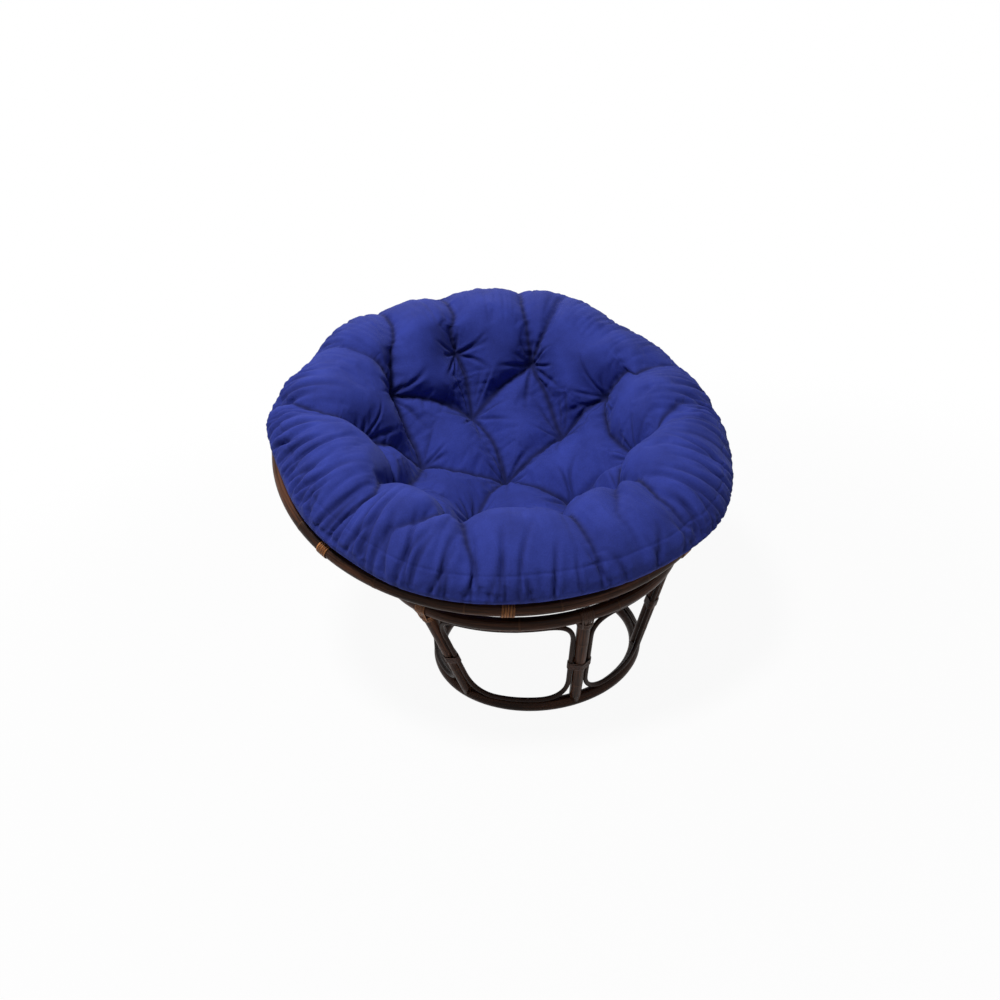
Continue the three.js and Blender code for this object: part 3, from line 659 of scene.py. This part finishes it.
# Heights are above the rim's plane and lengths run from the middle of the seat over the top, both in
# millimetres. Azimuths are in degrees from the front towards +X.
cushion = {
    "grid": 84,  # quads along each side of the cube that gives the surface its grid
    "seamAngle": math.radians(118),  # where the edge seam lies on that ball-shaped grid, from its top
    # the top's outline over the pillows, from the middle out to the edge seam: radius and height
    "topLine": [
        (0, -102.7), (60, -99), (120, -86), (200, -59), (246, -12), (285, 38), (318, 78), (345, 103),
        (380, 114), (425, 114), (466, 106), (503, 88), (531, 64), (542, 44),
    ],
    # the rest of it, from the seam over the rim and down inside the ribs; the underside then follows a ball
    "underEdge": [
        (542, 44), (540, 34), (532, 25.5), (520, 19), (507, 15), (497, 3), (489, -9), (480, -19),
    ],
    "underBall": 619.5, "underBlend": 0.12,  # its angle where the edge goes over into it
    "sway": [  # how the roll differs round the chair: azimuth, how far out, how far up
        (0, -9, 7), (20, 3, 7), (36, 18, 6), (48, 4, 5), (59, -12, 3), (70, -20, -6), (84, -28, -14),
        (100, -31, -20), (115, -29, -25), (124, -29, -24), (130, -16, -10), (140, -5, -6), (152, -6, 2),
        (163, -8, -6), (175, -7, -5), (186, -9, -8), (199, -6, -6), (205, -2, 0), (218, -1, 0),
        (226, -20, -15), (235, -15, -13), (248, 3, -6), (255, 3, -2), (263, -12, 0), (272, -26, 0),
        (280, -26, 2), (293, -19, 3), (310, -15, 4), (316, -4, 5), (330, -2, 6), (343, -8, 7),
        (352, -10, 7),
    ],
    "tuftDepth": 80,
    "tufts": {  # azimuth and length
        "middle": (69, 16),
        "a": (38, 190), "b": (109, 186), "c": (181, 190), "d": (-113, 175), "e": (-36, 182),
        "A": (0, 330), "B": (32, 330), "C": (59, 318), "D": (103, 302), "E": (146, 298), "F": (182, 328),
        "G": (-138, 304), "H": (-101, 327), "I": (-67, 297), "J": (-36, 330),
    },
    # creases between two tufts: how deep in the middle, as a share of the tufts, and how wide in mm
    "creases": [
        ("middle", "a", 0.55, 85), ("middle", "b", 0.62, 90), ("middle", "c", 0.66, 90),
        ("middle", "d", 0.62, 90), ("middle", "e", 0.5, 80), ("c", "F", 0.82, 90), ("b", "E", 0.74, 90),
        ("b", "D", 0.66, 80), ("a", "C", 0.64, 85), ("a", "B", 0.55, 80), ("a", "A", 0.5, 75),
        ("d", "G", 0.74, 90), ("d", "H", 0.55, 80), ("d", "I", 0.55, 80), ("e", "J", 0.66, 85),
        ("e", "A", 0.4, 70), ("E", "c", 0.58, 70), ("G", "c", 0.5, 65), ("D", "C", 0.5, 60),
        ("H", "I", 0.3, 50), ("I", "J", 0.5, 60), ("J", "A", 0.36, 55), ("A", "B", 0.4, 55),
        ("B", "C", 0.45, 60),
    ],
    # creases from a tuft out over the roll: azimuth and length of points on them, how deep, and how wide
    "outer": [
        ("F", [(183, 393), (180, 477), (180, 575), (180, 650)], 1.0, 90),
        ("E", [(150, 384), (154, 504), (155, 580), (156, 650)], 0.85, 75),
        ("E", [(142, 384), (141, 470), (141, 540), (140, 600)], 0.55, 50),
        ("D", [(101, 396), (95, 447), (96, 520), (97, 650)], 1.0, 90),
        ("C", [(60, 400), (66, 450), (73, 519), (75, 640)], 0.85, 80),
        ("G", [(-150, 420), (-156, 500), (-158, 560), (-159, 650)], 0.95, 75),
        ("G", [(-138, 410), (-136, 490), (-135, 600)], 0.6, 50),
        ("H", [(-102, 405), (-103, 486), (-110, 600), (-112, 670)], 1.0, 85),
        ("I", [(-66, 400), (-60, 489), (-60, 582), (-61, 650)], 0.85, 80),
        ("J", [(-32, 420), (-28, 520), (-25, 582), (-23, 650)], 0.9, 80),
        ("J", [(-38, 440), (-43, 510), (-47, 560), (-47, 625)], 0.65, 50),
        ("A", [(3, 420), (3, 498), (3, 588), (3, 640)], 0.8, 65),
        ("B", [(33, 420), (28, 510), (27, 600), (28, 640)], 0.8, 75),
        ("B", [(20, 440), (13, 507), (13, 600)], 0.5, 45),
    ],
    "outerShares": (1.0, 0.68, 0.52, 0.38, 0.12),  # of the tufts' depth, along these creases
    "swayFrom": (300, 450),  # radii where it starts and is whole
    "swayRise": (40, 70),  # heights where its way out and its way up are whole
    "swayBlur": 5,  # the table is averaged over this many degrees to either side
    "soft": 5.5, "flatShare": 0.35,  # rounds a crease's bottom, in mm; how much of a pillow falls evenly
    "creaseBow": 0.07, "creaseEnds": 0.35,  # how much creases may bow, and how soon they leave the tufts' depth
    "swellFade": 0.15,  # radians over the seam
    "blend": 4, "creaseShare": 0.92,  # the deepest crease counts by this power, and this much of the result
    "tuftShare": 1.04, "tuftWidth": 100,  # a tuft's own pit: a share of the tufts' depth, and mm
    "lineWidth": 6.5, "lineDepth": 36, "tuftLine": 16,  # painted shade: the dark line in the creases and at the tufts
}
seam = cushion["seamAngle"]
tuftDepth = cushion["tuftDepth"]
lineSteps = 40


# A smooth line through given points: on each stretch, the cubic whose end slopes are half the step between
# the points on either side
def smoothLine(keys):
    keys = np.array(keys, float)
    padded = np.concatenate([[2 * keys[0] - keys[1]], keys, [2 * keys[-1] - keys[-2]]])
    share = np.linspace(0, 1, lineSteps, endpoint=False)[:, None]
    a, b, c, d = (padded[k:len(padded) - 3 + k, None] for k in range(4))
    curved = (2 * a - 5 * b + 4 * c - d) * share ** 2 + (3 * b - a - 3 * c + d) * share ** 3
    line = 0.5 * (2 * b + (c - a) * share + curved)
    return np.append(line.reshape(-1, 2), keys[-1:], 0)


# The section, as radius and height in mm: over the top, over the rim, and down along the underside's ball
topKeys = np.array(cushion["topLine"], float)
topLine = smoothLine(np.append(topKeys[1:2] * [-1, 1], topKeys, 0))[lineSteps:]
topLength = runs(topLine)
topWay = np.gradient(topLine, topLength, axis=0)
edgeLine = smoothLine(cushion["underEdge"])
underBall, underBlend, dropMm = cushion["underBall"], cushion["underBlend"], rimDrop / mm
ballAngle = math.asin(edgeLine[-1, 0] / underBall)
ballSweep = np.linspace(ballAngle, 0, 160)
ballLine = np.stack([underBall * np.sin(ballSweep), dropMm - underBall * np.cos(ballSweep)], 1)
join = edgeLine[-1, 1] - ballLine[0, 1]
ballLine[:, 1] += join * np.clip((ballSweep - ballAngle + underBlend) / underBlend, 0, 1)
underLine = np.concatenate([edgeLine, ballLine[1:]])
underLength = runs(underLine)
sectionLine = np.append(topLine, underLine[1:], 0)
sectionLength = np.append(topLength, topLength[-1] + underLength[1:])
sway = np.array(cushion["sway"], float)


# Points in mm about the middle of the rim. The roll differs round the chair: it lies further out or in, and
# higher or lower.
def swayed(radius, azimuth, height):
    start, whole = cushion["swayFrom"]
    roll = np.clip((radius - start) / (whole - start), 0, 1)
    blurred = np.degrees(azimuth)[..., None] + np.linspace(-1, 1, 7) * cushion["swayBlur"]
    out, rise = (np.interp(blurred, sway[:, 0], sway[:, k], period=360).mean(-1) for k in (1, 2))
    fullOut, fullRise = cushion["swayRise"]
    return aroundAxis(radius + roll * np.clip(height / fullOut, 0, 1) * out, azimuth,
                      height + roll * np.clip(height / fullRise, 0, 1) * rise)


def topPlace(azimuth, length):  # for an azimuth in degrees and a length over the top
    radius, height = (np.interp(length, topLength, topLine[:, k]) for k in (0, 1))
    return swayed(radius, np.radians(azimuth), height)


def onFlat(azimuth, length):  # the place as if the top were laid flat, to draw straight lines on it
    return aroundAxis(length, np.radians(azimuth))[..., :2]


# Directions on a ball: each side of a cube is a grid of two angles, whose tangents give the point
def cubeBall(count):
    tangent = np.tan(np.linspace(-math.pi / 4, math.pi / 4, count + 1))
    a, b = np.meshgrid(tangent, tangent, indexing="ij")
    one = np.ones_like(a)
    sides = [(one, a, b), (-one, -a, b), (-a, one, b), (a, -one, b), (-b, a, one), (b, a, -one)]
    points = unit(np.concatenate([np.stack(side, -1).reshape(-1, 3) for side in sides]))
    cell = (np.arange(count)[:, None] * (count + 1) + np.arange(count)).ravel()
    quads = np.stack([cell, cell + count + 1, cell + count + 2, cell + 1], 1)
    faces = np.concatenate([quads + k * (count + 1) ** 2 for k in range(6)])
    rounded = np.round(points * 1e5).astype(int)
    _, kept, back = np.unique(rounded, axis=0, return_index=True, return_inverse=True)
    return points[kept], back.ravel()[faces]


def ballAngles(directions):  # from the top, and from the front towards +X
    return np.arccos(np.clip(directions[:, 2], -1, 1)), np.arctan2(directions[:, 0], -directions[:, 1])


# The creases as short straight stretches on the envelope: both ends, the depths there, and the width
def creaseStretches():
    stretches, tufts = [], cushion["tufts"]

    def lay(azimuths, lengths, depths, width, count):
        share = np.linspace(0, 1, count + 1)
        azimuth, length, deep = (np.interp(share, np.linspace(0, 1, len(values)), values)
                                 for values in (azimuths, lengths, np.multiply(depths, tuftDepth)))
        points = topPlace(azimuth, length)
        stretches.extend(zip(points, points[1:], deep, deep[1:], [width] * count))

    for one, two, middle, width in cushion["creases"]:
        start, end = onFlat(*tufts[one]), onFlat(*tufts[two])
        bow = random.uniform(-cushion["creaseBow"], cushion["creaseBow"])
        share = np.linspace(0, 1, 9)[:, None]
        way = end - start
        points = start + way * share + np.array([-way[1], way[0]]) * bow * np.sin(math.pi * share)
        azimuths = np.degrees(np.unwrap(np.arctan2(points[:, 0], -points[:, 1])))
        between = cushion["creaseEnds"] + (1 - cushion["creaseEnds"]) * middle
        lay(azimuths, np.linalg.norm(points, axis=1), (1, between, middle, between, 1), width, 8)
    for name, spots, level, width in cushion["outer"]:
        depths = [share * (level if k else 1) for k, share in enumerate(cushion["outerShares"])]
        lay(*zip(tufts[name], *spots), depths, width, 14)
    return stretches


# How deep the surface is drawn in at points of the envelope, and the painted shade in its creases and
# tufts. Each crease has round pillows on both its sides: the depth falls as a circle does, from the crease
# to its width. The deepest one counts, blended a little.
def drawnIn(points, stretches):
    total, pits, line = np.zeros((3, len(points)))
    blend, flatShare = cushion["blend"], cushion["flatShare"]

    def pillow(distance, width):
        near = 1 - np.clip(np.sqrt(distance ** 2 + cushion["soft"] ** 2) / width, 0, 1)
        return flatShare * near ** 2 + (1 - flatShare) * (1 - np.sqrt(1 - near ** 2))

    for start, end, deepStart, deepEnd, width in stretches:
        way = end - start
        share = np.clip((points - start) @ way / (way @ way), 0, 1)
        distance = np.linalg.norm(points - start - share[:, None] * way, axis=1)
        deep = deepStart + (deepEnd - deepStart) * share
        total += (deep * pillow(distance, width)) ** blend
        # painted shade along the crease, strongest where it is deep
        shade = np.exp(-(distance / cushion["lineWidth"]) ** 2)
        line = np.maximum(line, shade * np.clip(deep / cushion["lineDepth"], 0, 1))
    for spot in cushion["tufts"].values():
        distance = np.linalg.norm(points - topPlace(*spot), axis=1)
        pits = np.maximum(pits, cushion["tuftShare"] * tuftDepth * pillow(distance, cushion["tuftWidth"]))
        # painted shade in the tuft's pit
        line = np.maximum(line, np.exp(-(distance / cushion["tuftLine"]) ** 2))
    return np.maximum(total ** (1 / blend) * cushion["creaseShare"], pits), line


# The cushion at directions from the ball-shaped grid, whose angle from the top becomes a length along the
# section. Returns points, how deep they are drawn in, and how much painted shade, a dark line, lies there.
def cushionForm(directions, stretches):
    polarAngle, azimuth = ballAngles(directions)
    length = np.interp(polarAngle, (0, seam, math.pi), (0, topLength[-1], sectionLength[-1]))
    radius, height = (np.interp(length, sectionLength, sectionLine[:, k]) for k in (0, 1))
    further, higher = (np.interp(length, topLength, topWay[:, k]) for k in (0, 1))
    points = swayed(radius, azimuth, height)
    outward = unit(aroundAxis(-higher, azimuth, further))
    depth, line = np.zeros((2, len(points)))
    top = polarAngle < seam
    depth[top], line[top] = drawnIn(points[top], stretches)
    depth += swell * np.clip((seam - polarAngle) / cushion["swellFade"], 0, 1)
    return points - outward * depth[:, None], depth, line


def cushionPlace(points):  # from mm about the middle of the rim to the row frame
    return ballCentre + (points * mm - [0.0, 0.0, rimDrop]) @ bowlWays


# The filling's pressure and the sewn tufts shape the cover: a cloth cut a little larger than the form, so
# that it folds where it is drawn in. The tufts and the underside are held, and the creases partly.
cover = {
    "frames": 12, "mostMove": 22 * mm,
    "swell": 8.0,  # the form starts this much smaller, in mm
    "heldDepth": 0.92, "creaseDepth": (0.3, 0.8),  # as shares of the tufts' depth
    "creaseHold": 0.6,
    "cloth": {
        "quality": 4, "mass": 0.2, "air_damping": 2.0,
        "tension_stiffness": 15.0, "compression_stiffness": 15.0, "shear_stiffness": 5.0,
        "bending_stiffness": 0.3, "use_pressure": True, "uniform_pressure_force": 3.5,
        "vertex_group_mass": "held", "pin_stiffness": 1.0, "shrink_min": -0.022,
    },
}
swell = cover["swell"]


# How far each point moves while the cover settles
def settled(points, quads, directions, depth):
    mesh = bpy.data.meshes.new("cover")
    mesh.from_pydata(points.tolist(), [], quads.tolist())
    made = bpy.data.objects.new("cover", mesh)
    scene.collection.objects.link(made)
    deep, (low, high) = depth / tuftDepth, cover["creaseDepth"]
    whole = (ballAngles(directions)[0] > seam - math.radians(2)) | (deep > cover["heldDepth"])
    held = np.round(np.where(whole, 1.0, np.clip((deep - low) / (high - low), 0, 1) * cover["creaseHold"]), 1)
    group = made.vertex_groups.new(name="held")
    for level in np.unique(held[held > 0]):
        group.add(np.flatnonzero(held == level).tolist(), float(level), "REPLACE")
    cloth = made.modifiers.new("cloth", "CLOTH")
    for key, value in cover["cloth"].items():
        setattr(cloth.settings, key, value)
    cloth.settings.effector_weights.gravity = 0.0
    cloth.point_cache.frame_start, cloth.point_cache.frame_end = 1, cover["frames"]
    for number in range(1, cover["frames"] + 1):
        scene.frame_set(number)
    result = made.evaluated_get(bpy.context.evaluated_depsgraph_get()).to_mesh()
    moved = vectorsOf(result.vertices, "co") - points
    size = np.linalg.norm(moved, axis=1, keepdims=True)
    print("cover settled, moved by mm:", np.round(np.percentile(size, [50, 90, 99, 100]) / mm, 1))
    moved *= cover["mostMove"] * np.tanh(size / cover["mostMove"]) / np.maximum(size, 1e-9)
    bpy.data.objects.remove(made)
    bpy.data.meshes.remove(mesh)
    scene.frame_set(1)
    return moved


directions, quads = cubeBall(cushion["grid"])
stretches = creaseStretches()
form, depth, _ = cushionForm(directions, stretches)
form = cushionPlace(form)
moved = settled(form, quads, directions, depth)
cushionMesh = bpy.data.meshes.new("seatCushion")
cushionMesh.from_pydata(form.tolist(), [], quads.tolist())
addAttribute(cushionMesh, "way", directions)
addAttribute(cushionMesh, "moved", moved)
put(cushionMesh.polygons, "use_smooth", np.ones(len(quads)), bool)
cushionMesh.update()

twill = {
    "dark": (0.020, 0.031, 0.208), "light": (0.035, 0.055, 0.345),
    # painted shade: the near-black blue of the creases, folds and tufts, and how much of it is mixed in
    "crease": (0.003, 0.003, 0.028), "creaseMix": 0.82,
    "rib": 2.1 * mm, "ribSlant": 1.7, "thread": 1.1 * mm, "threadSlant": 0.9,
}


# Blue twill: fine slanted ribs in the cloth's own directions, a soft uneven dye, and painted shade in the creases,
# folds and tufts
def twillFinish():
    finish = Finish("blue_twill", Sheen_Weight=0.06, Sheen_Roughness=0.45, Sheen_Tint=(0.55, 0.62, 1.0, 1),
                    Specular_IOR_Level=0.2)
    cloth = finish.node("ShaderNodeUVMap", {"uv_map": "cloth"})
    u = finish.node("ShaderNodeSeparateXYZ", sockets={0: cloth})
    v = u.beside("Y")
    ribs = finish.math("SINE", (u + v * twill["ribSlant"]) * (fullTurn / twill["rib"]))
    threads = finish.math("SINE", (u * twill["threadSlant"] - v) * (fullTurn / twill["thread"]))
    mottle = finish.noise(cloth, 9.0, 4.0, 0.6)
    fine = finish.noise(cloth, 260.0, 2.0, 0.5)
    tone = finish.ramp(mottle * 0.6 + fine * 0.25 + ribs * 0.03 + threads * 0.02, 0.25, 0.62)
    dyed = finish.mix(tone, twill["dark"], twill["light"])
    # painted shade: the colour goes to the near-black blue where the creases, folds and tufts lie
    paintedShade = finish.attribute("crease", "Fac") * twill["creaseMix"]
    finish.give(Base_Color=finish.mix(paintedShade, dyed, twill["crease"]), Roughness=0.78 + fine * 0.15)
    finish.bump(ribs * 0.5 + threads * 0.2 + fine * 1.2, 0.4, 0.0004)
    return finish


cushionPiece = addPiece(cushionMesh, twillFinish(), "cushion")


# The finished mesh of a piece with one modifier
def applied(piece, kind, **settings):
    modifier = piece.modifiers.new(kind, kind)
    for key, value in settings.items():
        setattr(modifier, key, value)
    mesh = bpy.data.meshes.new_from_object(piece.evaluated_get(bpy.context.evaluated_depsgraph_get()))
    piece.modifiers.clear()
    old, piece.data = piece.data, mesh
    bpy.data.meshes.remove(old)
    mesh.name = piece.name
    return mesh


def taken(mesh, name):  # an attribute's vectors, which then go
    values = vectorsOf(mesh.attributes[name].data, "vector")
    mesh.attributes.remove(mesh.attributes[name])
    return values


# the form once more at the finer points, with the way that the cover settled; then the grid's steps go
cushionMesh = applied(cushionPiece, "SUBSURF", levels=1, render_levels=1)
way, moved = unit(taken(cushionMesh, "way")), taken(cushionMesh, "moved")
# the painted shade along the creases and at the tufts, at the finer points
form, _, creaseShadeLine = cushionForm(way, stretches)
put(cushionMesh.vertices, "co", cushionPlace(form) + moved)
cushionMesh.update()
cushionMesh = applied(cushionPiece, "SMOOTH", factor=0.5, iterations=4)
polarAngle, azimuth = ballAngles(way)

# the cloth's own directions, as a map in metres from the middle of each sheet
corners = np.empty(len(cushionMesh.loops), np.int32)
cushionMesh.loops.foreach_get("vertex_index", corners)
cornerAngle = polarAngle[corners]
onTop = (cornerAngle.reshape(-1, 4).mean(1) < seam).repeat(4)
sheet = np.where(onTop, cornerAngle / seam * topLength[-1],
                 (math.pi - cornerAngle) / (math.pi - seam) * underLength[-1]) * mm
put(cushionMesh.uv_layers.new(name="cloth").data, "uv", aroundAxis(sheet, azimuth[corners])[:, :2])

# Gathers: waves of azimuth with sharp valleys over the roll, bent by one uneven level and faded by another.
# Then single folds: some run in from the edge, others spread from each tuft.
gathers = {
    "families": [(52, 3.0), (97, 2.0), (161, 1.1)],  # folds round the cushion, and height in mm
    # uneven levels: how many waves, most of them round the cushion, most turning for each mm, and strength
    "bends": [(14, 9, 0.012, 0.9), (10, 30, 0.02, 0.35)], "fades": (26, 34, 0.016, 0.75),
    "bent": 2.2, "kept": 0.45, "most": 1.3,  # how far the waves bend; the level and the most of their fading
    "sharp": 0.75, "middle": 0.8,  # of a wave's valleys
    "from": (370, 500), "to": (700, 720),
    # single folds from the edge: azimuths, how many, lengths where they end and start, most depth and width
    "folds": [
        (-165, -120, 10, 480, 650, 7.0, 8), (-120, -48, 32, 390, 660, 16.0, 11),
        (-48, -14, 14, 430, 670, 15.0, 10), (-14, 24, 9, 500, 680, 16.0, 10),
        (24, 85, 24, 400, 665, 14.0, 10), (85, 125, 12, 450, 650, 7.0, 8), (125, 195, 11, 500, 650, 6.0, 7),
    ],
    "tuftFolds": 10, "tuftDepth": 8.5, "tuftWidth": 6.0, "tuftStart": 10, "tuftReach": (45, 135),
    "fadeIn": 0.12, "fadeOut": 0.55, "bank": 2.1,  # of a fold: shares of its length, and its banks' width
    "shade": 0.6, "shadeDepth": 6,  # painted shade: the dark line in a fold, whole at this depth
    "seamAt": 603, "seam": 1.2, "seamWidth": 2.4,
}


# A smooth uneven level round the roll: a sum of waves of azimuth and of length, between about -1 and 1
def uneven(azimuth, length, waves, around, along, strength):
    level = np.zeros(len(azimuth))
    for _ in range(waves):
        level += np.cos(random.integers(1, around) * azimuth + random.uniform(0, 6.3)) * np.cos(
            random.uniform(0, along) * length + random.uniform(0, 6.3))
    return level / math.sqrt(waves / 2) * strength


def eased(values, low, high):
    share = np.clip((values - low) / (high - low), 0, 1)
    return share * share * (3 - 2 * share)


def addGathers(mesh, polarAngle, azimuth, line):
    length = polarAngle / seam * topLength[-1]
    band = eased(length, *gathers["from"]) * (1 - eased(length, *gathers["to"]))
    rise = np.zeros(len(length))
    for folds, height in gathers["families"]:
        bend = sum(uneven(azimuth, length, *level) for level in gathers["bends"])
        wave = np.abs(np.sin((folds * azimuth + gathers["bent"] * bend) / 2))
        fade = np.clip(uneven(azimuth, length, *gathers["fades"]) + gathers["kept"], 0, gathers["most"])
        rise += height * (wave ** gathers["sharp"] - gathers["middle"]) * fade * band
    flat = aroundAxis(length, azimuth)[:, :2]
    top = length < topLength[-1] + 30

    # A fold is a narrow valley with a low rounded bank on either side, along a bowed line. It is deepest a
    # third of the way in, and fades to nothing.
    def fold(start, end, depth, width, bow):
        way = end - start
        size = np.linalg.norm(way)
        near = np.flatnonzero(top & (np.linalg.norm(flat - (start + end) / 2, axis=1) < size / 2 + 4 * width))
        along = (flat[near] - start) @ way / size ** 2
        inside = np.clip(along, 0, 1)
        across = (flat[near] - start) @ [-way[1], way[0]] / size - bow * size * np.sin(math.pi * inside)
        fade = np.clip(along / gathers["fadeIn"] + 0.4, 0, 1)
        fade *= np.clip((1 - along) / gathers["fadeOut"], 0, 1) ** 1.2
        away = across / (width * (0.75 + 0.5 * inside))
        rise[near] += depth * fade * (0.5 * np.exp(-(away / gathers["bank"]) ** 2) - np.exp(-away ** 2))
        # painted shade: a dark line along the fold's valley, stronger where the fold is deep
        shade = gathers["shade"] * min(depth / gathers["shadeDepth"], 1)
        line[near] = np.maximum(line[near], shade * fade * np.exp(-(away * 1.6) ** 2))

    for low, high, many, inner, outer, depth, width in gathers["folds"]:
        for k in range(many):
            at = low + (high - low) * (k + random.uniform(0.1, 0.9)) / many
            reach = outer - (outer - inner) * random.uniform(0.35, 1.0)
            fold(onFlat(at, outer + random.uniform(-25, 10)), onFlat(at + random.uniform(-6, 6), reach),
                 depth * random.uniform(0.35, 1.0), width * random.uniform(0.6, 1.1),
                 random.uniform(-0.06, 0.06))
    for spot in cushion["tufts"].values():
        middle = onFlat(*spot)
        first = random.uniform(0, 6.3)
        for k in range(gathers["tuftFolds"]):
            turn = first + (k + random.uniform(-0.35, 0.35)) * fullTurn / gathers["tuftFolds"]
            way = np.array([math.cos(turn), math.sin(turn)])
            fold(middle + way * gathers["tuftStart"], middle + way * random.uniform(*gathers["tuftReach"]),
                 gathers["tuftDepth"] * random.uniform(0.4, 1.0),
                 gathers["tuftWidth"] * random.uniform(0.7, 1.2), random.uniform(-0.08, 0.08))
    rise -= gathers["seam"] * np.exp(-((length - gathers["seamAt"]) / gathers["seamWidth"]) ** 2)
    rise *= np.clip((seam + 0.03 - polarAngle) / 0.06, 0, 1)
    normals = vectorsOf(mesh.vertex_normals, "vector")
    put(mesh.vertices, "co", vectorsOf(mesh.vertices, "co") + normals * rise[:, None] * mm)
    # the painted shade of the creases, tufts and folds, kept for the twill's colour
    addAttribute(mesh, "crease", line)
    mesh.update()


addGathers(cushionMesh, polarAngle, azimuth, creaseShadeLine)
print("cushion built:", len(way), "points")

# Lights, floor and camera
view = {
    "cameraPlace": (-0.48676, -1.53377, 1.20858), "ahead": (0.2415, 0.8633, -0.4432),
    "roll": -5.84, "lens": 28.04,
    # place, size and energy of each lamp
    "lamps": {"key": ((-0.9, -0.5, 3.5), 0.7, 97.0), "fill": ((1.6, -2.6, 1.8), 2.0, 3.0),
              "back": ((0.8, 2.8, 2.4), 1.6, 22.0)},
    "lampsAimAt": (0, 0, 0.4), "worldLight": 0.055,
    "floorHalf": 90, "floorFade": (0.7, 2.4), "floorShade": 0.06,  # nearest to the chair, less of its glow
}
scene.view_settings.view_transform = "Standard"


# Shows white to the camera, to mirrors and through glass, and lights the rest at the given level
def paleWorld(strength):
    finish = Finish("pale_world", "worlds", "Background", Color=(1, 1, 1, 1))
    finish.give(Strength=finish.seen() * (1 - strength) + strength)
    scene.world = finish.made


def addLamp(name, place, size, energy):
    lamp = bpy.data.lights.new(name, "AREA")
    lamp.shape, lamp.size, lamp.energy = "DISK", size, energy
    made = bpy.data.objects.new(name, lamp)
    made.location = place
    made.rotation_euler = (Vector(view["lampsAimAt"]) - Vector(place)).to_track_quat("-Z", "Y").to_euler()
    scene.collection.objects.link(made)


def addFloor():
    mesh, half = bpy.data.meshes.new("floor"), view["floorHalf"]
    corners = [(-half, -half, 0), (half, -half, 0), (half, half, 0), (-half, half, 0)]
    mesh.from_pydata(corners, [], [(0, 1, 2, 3)])
    finish = Finish("pale_floor", Roughness=0.9, Base_Color=(0.8, 0.8, 0.8, 1), Specular_IOR_Level=0.1)
    glow = finish.node("ShaderNodeEmission", sockets={"Color": (1, 1, 1, 1), "Strength": 1.0})
    place = finish.node("ShaderNodeTexCoord", output=3)
    far = finish.node("ShaderNodeVectorMath", {"operation": "LENGTH"}, {0: place}, 1)
    shown = finish.ramp(far, *view["floorFade"]) * view["floorShade"] + (1 - view["floorShade"])
    mixed = finish.node("ShaderNodeMixShader", sockets={
        0: finish.seen() * shown, 1: Signal(finish, finish.shader.outputs[0]), 2: glow})
    finish.feed(finish.tree.nodes["Material Output"].inputs["Surface"], mixed)
    mesh.materials.append(finish.made)
    floor = bpy.data.objects.new("floor", mesh)
    scene.collection.objects.link(floor)


paleWorld(view["worldLight"])
for name, lamp in view["lamps"].items():
    addLamp(name, *lamp)
addFloor()

ahead = Vector(view["ahead"]).normalized()
right = ahead.cross(Vector((0, 0, 1))).normalized()
upward = right.cross(ahead)
cosine, sine = math.cos(math.radians(view["roll"])), math.sin(math.radians(view["roll"]))
right, upward = right * cosine + upward * sine, upward * cosine - right * sine
camera = bpy.data.objects.new("camera", bpy.data.cameras.new("camera"))
camera.data.sensor_width, camera.data.lens = 36.0, view["lens"]
turned = Matrix((right, upward, -ahead)).transposed().to_4x4()
camera.matrix_world = Matrix.Translation(standCentre + view["cameraPlace"]) @ turned
scene.collection.objects.link(camera)
scene.camera = camera
print("lights, floor and camera set")
